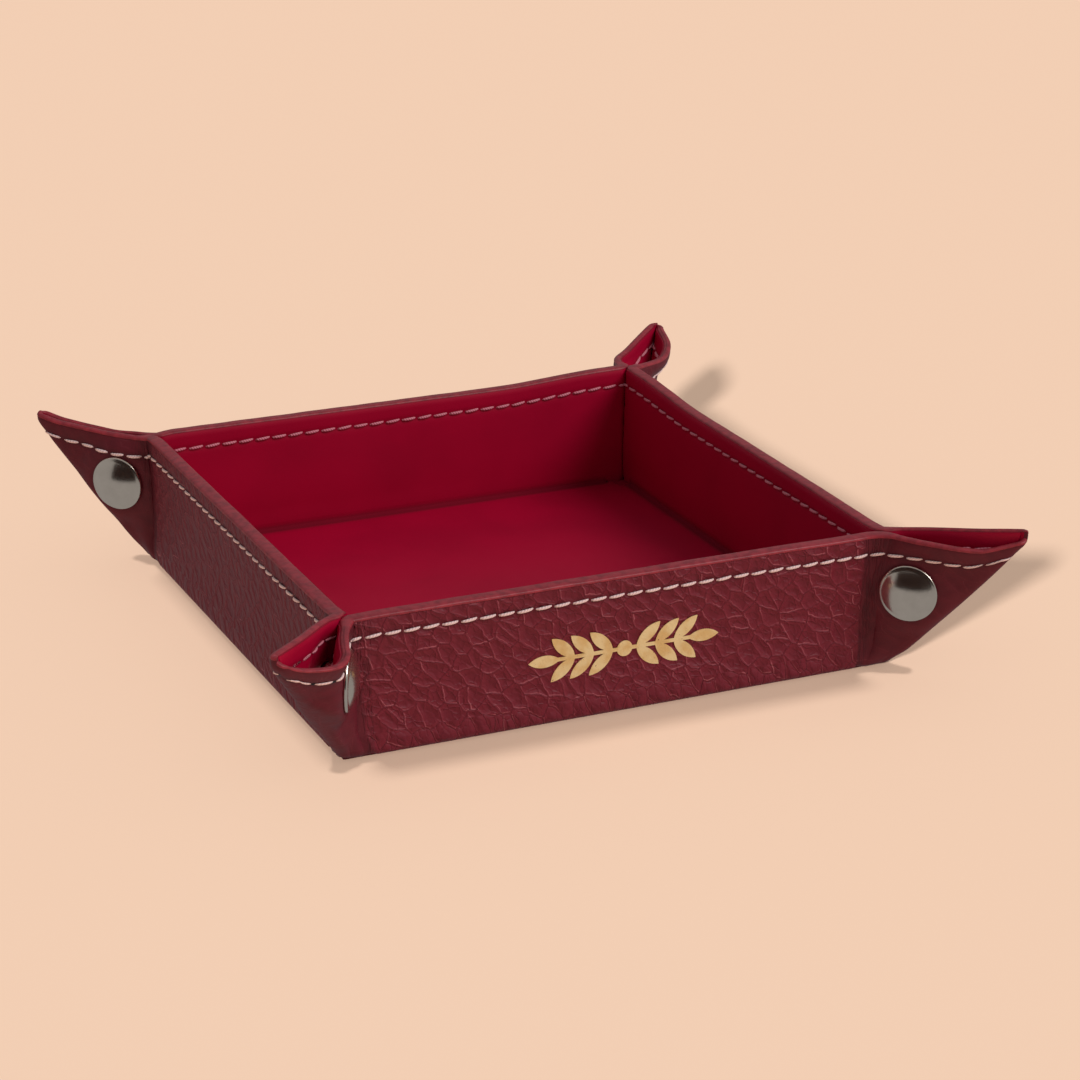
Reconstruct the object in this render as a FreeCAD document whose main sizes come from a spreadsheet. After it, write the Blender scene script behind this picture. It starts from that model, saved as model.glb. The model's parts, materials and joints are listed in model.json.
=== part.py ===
"""Leather valet tray: four stiffened walls fold up round a square base and press studs pinch the corners.

Every wall, with everything on it, is drawn lying flat and is then turned up about its crease. A half ear
is drawn flat too, then turned outward about the end of its wall. In a flat frame X runs along the crease,
Y runs from the crease axis towards the rim, and Z runs from the outer leather (0) towards the lining.
The tray's own frame has its origin under the middle of the base, with +Z up and the front wall at -Y.
"""
import FreeCAD, Part
import math
import os
import Sketcher

SIZES = {
    # Overall shape of the tray when its corners are snapped shut.
    "base_width": 121.0,
    "base_depth": 121.0,
    "wall_rise": 30.0,
    "wall_lean": 2.0,
    # Layers of the glued sheet, from outside to inside.
    "leather_thickness": 1.1,
    "board_thickness": 1.2,
    "lining_thickness": 1.1,
    # Room left in the layers for the creases.
    "crease_clearance": 0.2,
    "board_crease_margin": 2.0,
    "board_rim_margin": 0.6,
    "board_stitch_clearance": 1.1,
    # Ears: the room between the two halves of a pinched corner, and how each half is cut.
    "ear_gap": 2.6,
    "ear_crease_gap": 0.6,
    "ear_fold_clearance": 0.5,
    "ear_tip_cut": 0.4,
    "ear_tip_rise": 3.0,
    # Lock stitch along the rim.
    "stitch_margin": 4.0,
    "stitch_end_margin": 1.8,
    "thread_width": 0.6,
    "thread_height": 0.35,
    "thread_clearance": 0.15,
    # Press studs.
    "stud_crease_clearance": 3.2,
    "stud_stitch_clearance": 0.6,
    "stud_clearance": 0.4,
    "rivet_diameter": 3.0,
    "rivet_clearance": 0.2,
    "cap_diameter": 12.4,
    "cap_dome": 2.6,
    "cap_edge": 0.9,
    "socket_diameter": 9.6,
    "socket_floor": 0.4,
    "post_flange_diameter": 9.0,
    "post_flange_thickness": 0.6,
    "post_neck_diameter": 3.2,
    "post_head_diameter": 4.0,
    "post_side_clearance": 0.9,
    "back_rivet_diameter": 8.6,
    "back_rivet_dome": 0.9,
    "back_rivet_edge": 0.4,
    # Gilded leaf sprig on the front wall.
    "foil_thickness": 0.15,
    "foil_rise": 12.5,
    "stem_length": 30.0,
    "stem_width": 0.8,
    "rosette_diameter": 3.4,
    "leaf_length": 7.0,
    "leaf_width": 2.6,
    "leaf_start": 2.6,
    "leaf_spacing": 4.2,
    "leaf_angle": 42.0,
}

# Walls in the order in which they follow each other, counter-clockwise seen from above, from the back.
WALLS = ("back", "left", "front", "right")
# The wall whose half ear carries the cap, for each corner. The other wall's half carries the post.
CAP_WALLS = {"front_left": "front", "front_right": "front", "back_left": "left", "back_right": "right"}
LEAF_PAIRS = 3

document = FreeCAD.newDocument("ValetTray")
sheet = document.addObject("Spreadsheet::Sheet", "Sizes")
for row, (size_name, size_value) in enumerate(SIZES.items(), start=1):
    sheet.set(f"A{row}", size_name)
    sheet.set(f"B{row}", str(size_value))
    sheet.setAlias(f"B{row}", size_name)
document.recompute()

# Lengths that follow from the driving sizes, as expressions on the sheet.
SHEET_THICKNESS = "(Sizes.leather_thickness + Sizes.board_thickness + Sizes.lining_thickness)"
HALF_THICKNESS = f"({SHEET_THICKNESS} / 2)"
EAR_THICKNESS = "(Sizes.leather_thickness + Sizes.lining_thickness)"
RIM = f"(Sizes.wall_rise - {HALF_THICKNESS})"
INNER_START = f"({HALF_THICKNESS} + Sizes.crease_clearance)"
STITCH_LINE = f"({RIM} - Sizes.stitch_margin)"
THREAD_HOLE = "(Sizes.thread_width + 2 * Sizes.thread_clearance)"
# A half ear stands at 45 degrees, so its crease lies this far from the tray's outer corner.
EAR_SETBACK = f"({EAR_THICKNESS} / 2 + ({EAR_THICKNESS} + Sizes.ear_gap) / sqrt(2))"
# Along a half ear, the diagonal fold lies this much further from the ear crease than from the wall crease.
FOLD_OFFSET = f"({EAR_SETBACK} - {HALF_THICKNESS} - Sizes.ear_fold_clearance)"
EAR_REACH = f"({RIM} + {FOLD_OFFSET} - Sizes.ear_tip_cut)"
# The rim of an ear climbs evenly from the end of its wall to its tip, and the stitches follow it.
EAR_SLOPE = f"(Sizes.ear_tip_rise / {EAR_REACH})"
EAR_STITCH_END = f"(({STITCH_LINE} + {FOLD_OFFSET}) / (1 - {EAR_SLOPE}) - Sizes.stitch_end_margin)"
# The studs stand clear of the ear crease and of the stitches.
STUD_REACH = "(Sizes.cap_diameter / 2 + Sizes.stud_crease_clearance)"
STUD_DROP = "(Sizes.thread_width / 2 + Sizes.cap_diameter / 2 + Sizes.stud_stitch_clearance)"
STUD_RISE = f"({STITCH_LINE} - {STUD_DROP})"
RIVET_HOLE = "(Sizes.rivet_diameter + 2 * Sizes.rivet_clearance)"
# The walls lean outward, so the two halves of an ear stand further apart at the stud than at its foot.
STUD_GAP = f"(Sizes.ear_gap + sqrt(2) * ({STUD_RISE} - {STUD_REACH}) * sin(Sizes.wall_lean * 1 deg))"
SOCKET_THICKNESS = f"({STUD_GAP} - Sizes.post_flange_thickness - 2 * Sizes.stud_clearance)"
SOCKET_BORE = "(Sizes.post_head_diameter + 2 * Sizes.post_side_clearance)"
POST_LENGTH = f"({STUD_GAP} - Sizes.socket_floor - Sizes.stud_clearance / 2)"


def evaluate(expression):
    """The present number behind an expression on the sheet, in millimetres or degrees."""
    if expression == "0":
        return 0.0
    negative = expression.startswith("-")
    size = expression[1:] if negative else expression
    number = float(FreeCAD.Units.Quantity(sheet.evalExpression(size)).Value)
    return -number if negative else number


def wall_length(wall):
    """The name of the base side that a wall stands on."""
    return "base_width" if wall in ("front", "back") else "base_depth"


def wall_reach(wall):
    """The name of the base side that a wall's distance from the middle depends on."""
    return "base_depth" if wall in ("front", "back") else "base_width"


def ear_crease(wall):
    """Expression for the distance of a wall's ear creases from its middle."""
    return f"(Sizes.{wall_length(wall)} / 2 - {EAR_SETBACK})"


# ---------------------------------------------------------------- placements


def turned(axis, degrees):
    """A placement that turns about an axis through the origin."""
    return FreeCAD.Placement(FreeCAD.Vector(0, 0, 0), FreeCAD.Rotation(axis, degrees))


def shifted(x, y, z):
    """A placement that only moves."""
    return FreeCAD.Placement(FreeCAD.Vector(x, y, z), FreeCAD.Rotation())


X_AXIS = FreeCAD.Vector(1, 0, 0)
Y_AXIS = FreeCAD.Vector(0, 1, 0)
Z_AXIS = FreeCAD.Vector(0, 0, 1)
half_thickness = evaluate(HALF_THICKNESS)
ear_thickness = evaluate(EAR_THICKNESS)
wall_angle = evaluate("(90 - Sizes.wall_lean)")


def ear_angle():
    """How far a half ear turns out of its wall's plane for the two halves to meet on the diagonal.

    With the wall at an angle a above the table, the diagonal of the half ear lies in the corner's
    diagonal plane when cos(a) + sin(b) sin(a) = cos(b), so tan(b / 2) has a closed form.
    """
    cosine = math.cos(math.radians(wall_angle))
    sine = math.sin(math.radians(wall_angle))
    half_tangent = (math.sqrt(sine * sine + 1.0 - cosine * cosine) - sine) / (1.0 + cosine)
    return 2.0 * math.degrees(math.atan(half_tangent))


def wall_placement(wall):
    """Where a wall's flat frame goes: turned up about its crease and round to its side."""
    side_turn = 90.0 * WALLS.index(wall)
    reach = evaluate(f"Sizes.{wall_reach(wall)} / 2") - half_thickness
    upright = shifted(0, reach, half_thickness) * turned(X_AXIS, wall_angle) * shifted(0, 0, -half_thickness)
    return turned(Z_AXIS, side_turn) * upright


def ear_placement(wall, end):
    """Where a half ear's flat frame goes; end is +1 or -1 for the wall's end towards its own +X or -X."""
    hinge = shifted(end * evaluate(ear_crease(wall)), 0, ear_thickness / 2)
    folded = hinge * turned(Y_AXIS, end * ear_angle()) * shifted(0, 0, -ear_thickness / 2)
    return wall_placement(wall) * folded


def corner_name(wall, end):
    """The corner at one end of a wall, as front_left and so on."""
    neighbour = WALLS[(WALLS.index(wall) - end) % len(WALLS)]
    pair = (wall, neighbour) if wall in ("front", "back") else (neighbour, wall)
    return "_".join(pair)


# ---------------------------------------------------------------- drawing helpers


def new_body(name, placement):
    """An empty body with its label and its placement."""
    body = document.addObject("PartDesign::Body", name)
    body.Label = name
    body.Placement = placement
    return body


def origin_plane(body, role):
    """One of the body's own origin planes."""
    return next(feature for feature in body.Origin.OriginFeatures if feature.Role == role)


def new_sketch(body, name, role="XY_Plane", lift=None):
    """A sketch on one of the body's origin planes, lifted along its normal by an expression."""
    sketch = body.newObject("Sketcher::SketchObject", name)
    sketch.AttachmentSupport = (origin_plane(body, role), [""])
    sketch.MapMode = "FlatFace"
    if lift:
        sketch.setExpression(".AttachmentOffset.Base.z", lift)
    return sketch


def bind_distance(sketch, kind, geometry, point, expression):
    """Fix one coordinate of a point; a leading minus sign puts it on the negative side."""
    negative = expression.startswith("-")
    size = expression[1:] if negative else expression
    ends = (geometry, point, -1, 1) if negative else (-1, 1, geometry, point)
    index = sketch.addConstraint(Sketcher.Constraint(kind, *ends, 1.0))
    sketch.setExpression(f"Constraints[{index}]", size)


def bind_point(sketch, geometry, point, x_expression, y_expression):
    """Fix a point at two expressions; "0" puts it on the axis."""
    if x_expression == "0":
        sketch.addConstraint(Sketcher.Constraint("PointOnObject", geometry, point, -2))
    else:
        bind_distance(sketch, "DistanceX", geometry, point, x_expression)
    if y_expression == "0":
        sketch.addConstraint(Sketcher.Constraint("PointOnObject", geometry, point, -1))
    else:
        bind_distance(sketch, "DistanceY", geometry, point, y_expression)


def draw_outline(sketch, corners):
    """A closed outline of straight lines through points given as pairs of expressions."""
    points = [FreeCAD.Vector(evaluate(x), evaluate(y), 0) for x, y in corners]
    count = len(points)
    for index in range(count):
        sketch.addGeometry(Part.LineSegment(points[index], points[(index + 1) % count]), False)
    for index in range(count):
        sketch.addConstraint(Sketcher.Constraint("Coincident", index, 2, (index + 1) % count, 1))
    for index, (x_expression, y_expression) in enumerate(corners):
        bind_point(sketch, index, 1, x_expression, y_expression)


def draw_circle(sketch, x_expression, y_expression, diameter):
    """A circle at two expressions with a bound diameter."""
    centre = FreeCAD.Vector(evaluate(x_expression), evaluate(y_expression), 0)
    index = sketch.addGeometry(Part.Circle(centre, Z_AXIS, evaluate(diameter) / 2), False)
    bind_point(sketch, index, 3, x_expression, y_expression)
    bound = sketch.addConstraint(Sketcher.Constraint("Diameter", index, 1.0))
    sketch.setExpression(f"Constraints[{bound}]", diameter)


def add_pad(body, name, sketch, length, reversed_pad=False):
    """Raise a sketch by a bound length."""
    pad = body.newObject("PartDesign::Pad", name)
    pad.Profile = sketch
    pad.setExpression("Length", length)
    pad.Reversed = reversed_pad
    return pad


def add_pocket(body, name, sketch, depth, reversed_pocket=False):
    """Cut a sketch down to a bound depth."""
    pocket = body.newObject("PartDesign::Pocket", name)
    pocket.Profile = sketch
    pocket.setExpression("Length", depth)
    pocket.Reversed = reversed_pocket
    return pocket


def add_turned_solid(body, name, sketch):
    """Turn a profile all the way round the body's Z axis."""
    solid = body.newObject("PartDesign::Revolution", name)
    solid.Profile = sketch
    solid.ReferenceAxis = (origin_plane(body, "Z_Axis"), [""])
    solid.Angle = 360.0
    return solid


# ---------------------------------------------------------------- sheets of leather and board


def make_plate(name, placement, corners, start, thickness, holes=()):
    """A flat layer of the sheet: an outline, its depth in the sheet, and its holes."""
    body = new_body(name, placement)
    outline = new_sketch(body, name + "_outline", lift=start)
    draw_outline(outline, corners)
    add_pad(body, name + "_layer", outline, thickness)
    if holes:
        drilling = new_sketch(body, name + "_hole_plan", lift=start)
        for x_expression, y_expression, diameter in holes:
            draw_circle(drilling, x_expression, y_expression, diameter)
        add_pocket(body, name + "_holes", drilling, thickness, reversed_pocket=True)
    return body


def rectangle(half_length, bottom, top):
    """Corners of a rectangle centred on the Y axis."""
    return [
        ("-" + half_length, bottom),
        (half_length, bottom),
        (half_length, top),
        ("-" + half_length, top),
    ]


def make_base():
    """The three layers under the tray's well."""
    placement = shifted(0, 0, 0)
    half_sides = ("Sizes.base_width / 2", "Sizes.base_depth / 2")
    board_start = "Sizes.leather_thickness"
    lining_start = "(Sizes.leather_thickness + Sizes.board_thickness)"
    layers = (
        ("base_outer_leather", "Sizes.crease_clearance", "0.0 mm", "Sizes.leather_thickness"),
        ("base_board", "Sizes.board_crease_margin", board_start, "Sizes.board_thickness"),
        ("base_lining", INNER_START, lining_start, "Sizes.lining_thickness"),
    )
    for name, margin, start, thickness in layers:
        half_width, half_depth = (f"({side} - {HALF_THICKNESS} - {margin})" for side in half_sides)
        corners = [
            ("-" + half_width, "-" + half_depth),
            (half_width, "-" + half_depth),
            (half_width, half_depth),
            ("-" + half_width, half_depth),
        ]
        make_plate(name, placement, corners, start, thickness)


def make_wall(wall):
    """One wall's outer leather, stiffening board, lining and row of stitches."""
    name = f"wall_{wall}"
    placement = wall_placement(wall)
    crease = ear_crease(wall)
    leather_end = f"({crease} - Sizes.ear_crease_gap)"
    stitch_end = f"({crease} - Sizes.stitch_end_margin)"
    board_end = f"({stitch_end} - {THREAD_HOLE} / 2 - Sizes.board_stitch_clearance)"
    holes = [(sign + stitch_end, STITCH_LINE, THREAD_HOLE) for sign in ("-", "")]
    make_plate(
        name + "_outer_leather",
        placement,
        rectangle(leather_end, "Sizes.crease_clearance", RIM),
        "0.0 mm",
        "Sizes.leather_thickness",
        holes,
    )
    make_plate(
        name + "_board",
        placement,
        rectangle(board_end, "Sizes.board_crease_margin", f"({RIM} - Sizes.board_rim_margin)"),
        "Sizes.leather_thickness",
        "Sizes.board_thickness",
    )
    make_plate(
        name + "_lining",
        placement,
        rectangle(leather_end, INNER_START, RIM),
        "(Sizes.leather_thickness + Sizes.board_thickness)",
        "Sizes.lining_thickness",
        holes,
    )
    run = [("-" + stitch_end, STITCH_LINE), (stitch_end, STITCH_LINE)]
    make_stitching(name + "_stitching", placement, run, SHEET_THICKNESS)


def make_half_ear(wall, end):
    """Half of a pinched corner, which belongs to one wall: outer leather, lining and stitches."""
    corner = corner_name(wall, end)
    name = f"ear_{corner}_{wall}_half"
    placement = ear_placement(wall, end)
    sign = "" if end > 0 else "-"
    near = sign + "Sizes.ear_crease_gap"
    corners = [
        (near, INNER_START),
        (f"{sign}({INNER_START} + {FOLD_OFFSET})", INNER_START),
        (sign + EAR_REACH, f"({EAR_REACH} - {FOLD_OFFSET})"),
        (sign + EAR_REACH, f"({RIM} + Sizes.ear_tip_rise)"),
        (near, f"({RIM} + {EAR_SLOPE} * Sizes.ear_crease_gap)"),
    ]
    run = [
        (sign + distance, f"({STITCH_LINE} + {EAR_SLOPE} * {distance})")
        for distance in ("Sizes.stitch_end_margin", EAR_STITCH_END)
    ]
    holes = [(x_expression, y_expression, THREAD_HOLE) for x_expression, y_expression in run]
    holes.append((sign + STUD_REACH, STUD_RISE, RIVET_HOLE))
    leather = ("_outer_leather", "0.0 mm", "Sizes.leather_thickness")
    lining = ("_lining", "Sizes.leather_thickness", "Sizes.lining_thickness")
    for suffix, start, thickness in (leather, lining):
        make_plate(name + suffix, placement, corners, start, thickness, holes)
    make_stitching(name + "_stitching", placement, run, EAR_THICKNESS)
    stud = placement * shifted(end * evaluate(STUD_REACH), evaluate(STUD_RISE), 0)
    if CAP_WALLS[corner] == wall:
        make_cap_side(corner, stud)
    else:
        make_post_side(corner, stud)


def make_stitching(name, placement, run, thickness):
    """A row of lock stitch: one strand on each face, joined through the sheet at both ends of its run."""
    body = new_body(name, placement)
    half_width = "Sizes.thread_width / 2"
    (first_x, first_y), (last_x, last_y) = run
    corners = [
        (first_x, f"({first_y} - {half_width})"),
        (last_x, f"({last_y} - {half_width})"),
        (last_x, f"({last_y} + {half_width})"),
        (first_x, f"({first_y} + {half_width})"),
    ]
    outside = new_sketch(body, name + "_outside_plan")
    draw_outline(outside, corners)
    add_pad(body, name + "_outside", outside, "Sizes.thread_height", reversed_pad=True)
    through = new_sketch(body, name + "_through_plan")
    for x_expression, y_expression in run:
        draw_circle(through, x_expression, y_expression, "Sizes.thread_width")
    add_pad(body, name + "_through", through, thickness)
    inside = new_sketch(body, name + "_inside_plan", lift=thickness)
    draw_outline(inside, corners)
    add_pad(body, name + "_inside", inside, "Sizes.thread_height")


# ---------------------------------------------------------------- press studs


def make_domed_rivet(name, placement, diameter, dome, edge):
    """A domed disc on the leather with a shank through it; +Z points away from the leather."""
    body = new_body(name, placement)
    profile = new_sketch(body, name + "_profile", "XZ_Plane")
    radius = f"({diameter} / 2)"
    shank = "(Sizes.rivet_diameter / 2)"
    draw_turned_profile(
        profile,
        [(radius, edge), (radius, "0"), (shank, "0"), (shank, "-" + EAR_THICKNESS), ("0", "-" + EAR_THICKNESS)],
        ("0", dome),
    )
    add_turned_solid(body, name + "_solid", profile)


def draw_turned_profile(sketch, corners, top):
    """A profile of straight lines closed by the axis and by an arc that meets the axis squarely."""
    points = [FreeCAD.Vector(evaluate(x), evaluate(y), 0) for x, y in corners]
    summit = FreeCAD.Vector(evaluate(top[0]), evaluate(top[1]), 0)
    for start, finish in zip(points, points[1:]):
        sketch.addGeometry(Part.LineSegment(start, finish), False)
    axis_line = sketch.addGeometry(Part.LineSegment(points[-1], summit), False)
    chord_x = points[0].x
    drop = summit.y - points[0].y
    arc_radius = (chord_x * chord_x + drop * drop) / (2 * drop)
    centre = FreeCAD.Vector(0, summit.y - arc_radius, 0)
    start_angle = math.atan2(points[0].y - centre.y, chord_x)
    circle = Part.Circle(centre, Z_AXIS, arc_radius)
    arc = sketch.addGeometry(Part.ArcOfCircle(circle, start_angle, math.pi / 2), False)
    for index in range(axis_line):
        sketch.addConstraint(Sketcher.Constraint("Coincident", index, 2, index + 1, 1))
    sketch.addConstraint(Sketcher.Constraint("Coincident", axis_line, 2, arc, 2))
    sketch.addConstraint(Sketcher.Constraint("Coincident", arc, 1, 0, 1))
    sketch.addConstraint(Sketcher.Constraint("PointOnObject", arc, 3, -2))
    for index, (x_expression, y_expression) in enumerate(corners):
        bind_point(sketch, index, 1, x_expression, y_expression)
    bind_point(sketch, axis_line, 2, *top)


def outward(stud):
    """A stud's frame on the outer leather, with +Z away from the leather."""
    return stud * turned(X_AXIS, 180)


def inward(stud):
    """A stud's frame on the lining, with +Z away from the leather."""
    return stud * shifted(0, 0, ear_thickness)


def make_cap_side(corner, stud):
    """The domed cap outside and the spring socket on the lining."""
    name = f"stud_{corner}"
    cap_sizes = ("Sizes.cap_diameter", "Sizes.cap_dome", "Sizes.cap_edge")
    make_domed_rivet(name + "_cap", outward(stud), *cap_sizes)
    body = new_body(name + "_socket", inward(stud))
    disc = new_sketch(body, name + "_socket_plan")
    draw_circle(disc, "0", "0", "Sizes.socket_diameter")
    add_pad(body, name + "_socket_disc", disc, SOCKET_THICKNESS)
    bore = new_sketch(body, name + "_socket_bore_plan", lift=SOCKET_THICKNESS)
    draw_circle(bore, "0", "0", SOCKET_BORE)
    add_pocket(body, name + "_socket_bore", bore, f"({SOCKET_THICKNESS} - Sizes.socket_floor)")


def make_post_side(corner, stud):
    """The flat rivet outside and the post that snaps into the socket."""
    name = f"stud_{corner}"
    rivet_sizes = ("Sizes.back_rivet_diameter", "Sizes.back_rivet_dome", "Sizes.back_rivet_edge")
    make_domed_rivet(name + "_back_rivet", outward(stud), *rivet_sizes)
    body = new_body(name + "_post", inward(stud))
    profile = new_sketch(body, name + "_post_profile", "XZ_Plane")
    flange = "(Sizes.post_flange_diameter / 2)"
    neck = "(Sizes.post_neck_diameter / 2)"
    head = "(Sizes.post_head_diameter / 2)"
    stem = f"({POST_LENGTH} - Sizes.post_flange_thickness)"
    shoulder = f"(Sizes.post_flange_thickness + {stem} / 3)"
    brow = f"(Sizes.post_flange_thickness + {stem} / 2)"
    draw_turned_profile(
        profile,
        [
            (head, brow),
            (neck, shoulder),
            (neck, "Sizes.post_flange_thickness"),
            (flange, "Sizes.post_flange_thickness"),
            (flange, "0"),
            ("0", "0"),
        ],
        ("0", POST_LENGTH),
    )
    add_turned_solid(body, name + "_post_solid", profile)


# ---------------------------------------------------------------- gilded ornament


def make_leaf(name, x_expression, angle_expression):
    """A pointed leaf: what two equal discs share, lying along +X from its own foot."""
    bow = "((Sizes.leaf_length ^ 2 + Sizes.leaf_width ^ 2) / (4 * Sizes.leaf_width))"
    halves = []
    for side in (1, -1):
        disc = document.addObject("Part::Cylinder", f"{name}_edge_{'left' if side > 0 else 'right'}")
        disc.setExpression("Radius", bow)
        disc.setExpression("Height", "Sizes.foil_thickness")
        disc.setExpression("Placement.Base.x", "Sizes.leaf_length / 2")
        disc.setExpression("Placement.Base.y", f"{side} * ({bow} - Sizes.leaf_width / 2)")
        halves.append(disc)
    leaf = document.addObject("Part::Common", name)
    leaf.Base, leaf.Tool = halves
    leaf.Placement = turned(Z_AXIS, 0)
    leaf.setExpression("Placement.Base.x", x_expression)
    leaf.setExpression("Placement.Rotation.Angle", angle_expression)
    return leaf


def make_ornament():
    """A stem with leaves both ways from a small rosette, gilded flat on the front wall."""
    name = "foil_leaf_ornament"
    stem = document.addObject("Part::Box", name + "_stem")
    stem.setExpression("Length", "Sizes.stem_length")
    stem.setExpression("Width", "Sizes.stem_width")
    stem.setExpression("Height", "Sizes.foil_thickness")
    stem.setExpression("Placement.Base.x", "-Sizes.stem_length / 2")
    stem.setExpression("Placement.Base.y", "-Sizes.stem_width / 2")
    rosette = document.addObject("Part::Cylinder", name + "_rosette")
    rosette.setExpression("Radius", "Sizes.rosette_diameter / 2")
    rosette.setExpression("Height", "Sizes.foil_thickness")
    pieces = [stem, rosette]
    for side, turn in ((1, 0), (-1, 180)):
        word = "right" if side > 0 else "left"
        tip_foot = f"{side} * (Sizes.stem_length / 2 - Sizes.stem_width)"
        pieces.append(make_leaf(f"{name}_{word}_tip", tip_foot, f"{turn} deg"))
        for number in range(LEAF_PAIRS):
            foot = f"{side} * (Sizes.leaf_start + {number} * Sizes.leaf_spacing)"
            for rise in (1, -1):
                angle = f"({turn} + {side * rise} * Sizes.leaf_angle) * 1 deg"
                row = "upper" if rise > 0 else "lower"
                pieces.append(make_leaf(f"{name}_{word}_{row}_{number + 1}", foot, angle))
    ornament = document.addObject("Part::MultiFuse", name)
    ornament.Label = name
    ornament.Shapes = pieces
    on_front = wall_placement("front") * shifted(0, evaluate("Sizes.foil_rise"), 0)
    ornament.Placement = on_front * turned(Y_AXIS, 180)
    return ornament


# ---------------------------------------------------------------- the tray


def make_tray():
    """Every piece of the tray, in the order in which it is glued, sewn and riveted."""
    make_base()
    for wall in WALLS:
        make_wall(wall)
        for end in (1, -1):
            make_half_ear(wall, end)
    make_ornament()
    document.recompute()


def subparts():
    """The bodies and the ornament: one for each physical piece."""
    bodies = [item for item in document.Objects if item.TypeId == "PartDesign::Body"]
    return bodies + [document.getObject("foil_leaf_ornament")]


def check_tray(pieces):
    """Stop before writing anything when a feature failed or a piece isn't one sound solid."""
    failed = [item.Name for item in document.Objects if {"Invalid", "Error"} & set(item.State)]
    if failed:
        raise RuntimeError(f"features that failed: {failed}")
    for piece in pieces:
        shape = piece.Shape
        if shape.isNull() or not shape.isValid() or len(shape.Solids) != 1:
            raise RuntimeError(f"{piece.Label} isn't one valid solid")


def write_pieces(pieces):
    """One STEP file for each piece, named after it."""
    os.makedirs("parts", exist_ok=True)
    for piece in pieces:
        piece.Shape.exportStep(os.path.join("parts", piece.Label + ".step"))


make_tray()
tray_pieces = subparts()
check_tray(tray_pieces)
write_pieces(tray_pieces)
print(f"{len(tray_pieces)} pieces, ear angle {ear_angle():.3f} degrees")
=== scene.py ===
"""Leather valet tray, snapped shut: folded leather and lining, painted edges, lock stitch, studs and gilding.

Every wall is laid out as flat leather first. A place on it is given by a column, a height above the base
crease and a depth below the outer face, and is then folded to where the maker's hands would put it.
Sizes are in millimetres until a mesh is written in metres. The tray stands on z = 0, its front wall at -Y.
"""
import json
import logging
import math
from dataclasses import dataclass, field
from enum import Enum
from typing import Sequence

import bmesh
import bpy
import numpy as np
from mathutils import Matrix, Vector

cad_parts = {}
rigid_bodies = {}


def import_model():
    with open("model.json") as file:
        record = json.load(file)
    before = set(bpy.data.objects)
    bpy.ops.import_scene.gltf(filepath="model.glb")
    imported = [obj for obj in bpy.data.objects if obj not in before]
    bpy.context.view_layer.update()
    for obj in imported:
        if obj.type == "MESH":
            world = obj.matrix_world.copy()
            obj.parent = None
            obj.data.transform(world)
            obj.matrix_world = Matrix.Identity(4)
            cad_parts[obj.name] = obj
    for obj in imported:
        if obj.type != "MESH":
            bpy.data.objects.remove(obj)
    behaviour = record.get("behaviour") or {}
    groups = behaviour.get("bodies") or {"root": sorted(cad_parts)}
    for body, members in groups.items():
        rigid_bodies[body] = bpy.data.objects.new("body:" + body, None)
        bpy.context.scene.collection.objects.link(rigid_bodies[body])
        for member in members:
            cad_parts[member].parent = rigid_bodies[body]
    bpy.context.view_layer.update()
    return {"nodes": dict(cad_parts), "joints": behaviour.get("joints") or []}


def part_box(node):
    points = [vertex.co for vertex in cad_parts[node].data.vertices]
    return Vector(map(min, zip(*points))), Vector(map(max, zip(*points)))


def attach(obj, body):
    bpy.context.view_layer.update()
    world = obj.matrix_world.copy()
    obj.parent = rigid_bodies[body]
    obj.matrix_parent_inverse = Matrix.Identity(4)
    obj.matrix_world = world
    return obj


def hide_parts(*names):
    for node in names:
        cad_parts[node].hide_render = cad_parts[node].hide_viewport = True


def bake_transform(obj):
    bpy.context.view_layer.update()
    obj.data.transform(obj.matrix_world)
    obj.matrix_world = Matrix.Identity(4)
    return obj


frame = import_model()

log = logging.getLogger("valet_tray")
MM = 0.001
ROOT_TWO = math.sqrt(2.0)
# Flat millimetres that one unit of the UV maps stands for.
UV_SPAN = 100.0
# How far the stitches lie below the rim, and from one to the next.
STITCH_DROP = 4.0
STITCH_PITCH = 4.0
# A distance below the rim that no stitching reaches.
FAR_FROM_RIM = 30.0


class Wall(Enum):
    """The walls, each with the turn in degrees from the back wall's place to its own."""

    BACK = 0
    LEFT = 90
    FRONT = 180
    RIGHT = 270

    @property
    def title(self) -> str:
        """The wall's name as the CAD bodies spell it."""
        return self.name.lower()

    def corner(self, end: int) -> str:
        """The name of the corner at one end of the wall.

        Args:
            end: +1 for the end that comes next counter-clockwise seen from below, -1 for the other.

        Returns:
            The corner's name, such as front_left.
        """
        ahead = {Wall.BACK: "right", Wall.LEFT: "back", Wall.FRONT: "left", Wall.RIGHT: "front"}[self]
        behind = {Wall.BACK: "left", Wall.LEFT: "front", Wall.FRONT: "right", Wall.RIGHT: "back"}[self]
        side = ahead if end > 0 else behind
        return f"{self.title}_{side}" if self in (Wall.BACK, Wall.FRONT) else f"{side}_{self.title}"

    def body(self) -> str:
        """The CAD body that the wall is."""
        return f"wall_{self.title}"

    def ear_body(self, end: int) -> str:
        """The CAD body of the wall's half ear at one end."""
        return f"ear_{self.corner(end)}_{self.title}_half"

    def turn(self) -> Matrix:
        """The turn from the back wall's place to its own."""
        return Matrix.Rotation(math.radians(self.value), 3, "Z")


class Layer(Enum):
    """The two sheets that show: the leather outside and the lining inside."""

    LEATHER = "outer_leather"
    LINING = "lining"


def smoothstep(x: np.ndarray) -> np.ndarray:
    """An even climb from 0 to 1 as x goes from 0 to 1."""
    x = np.clip(x, 0.0, 1.0)
    return x * x * (3.0 - 2.0 * x)


def mix(a: np.ndarray, b: np.ndarray, share: np.ndarray) -> np.ndarray:
    """The value that lies this share of the way from a to b."""
    return a + (b - a) * share


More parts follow.
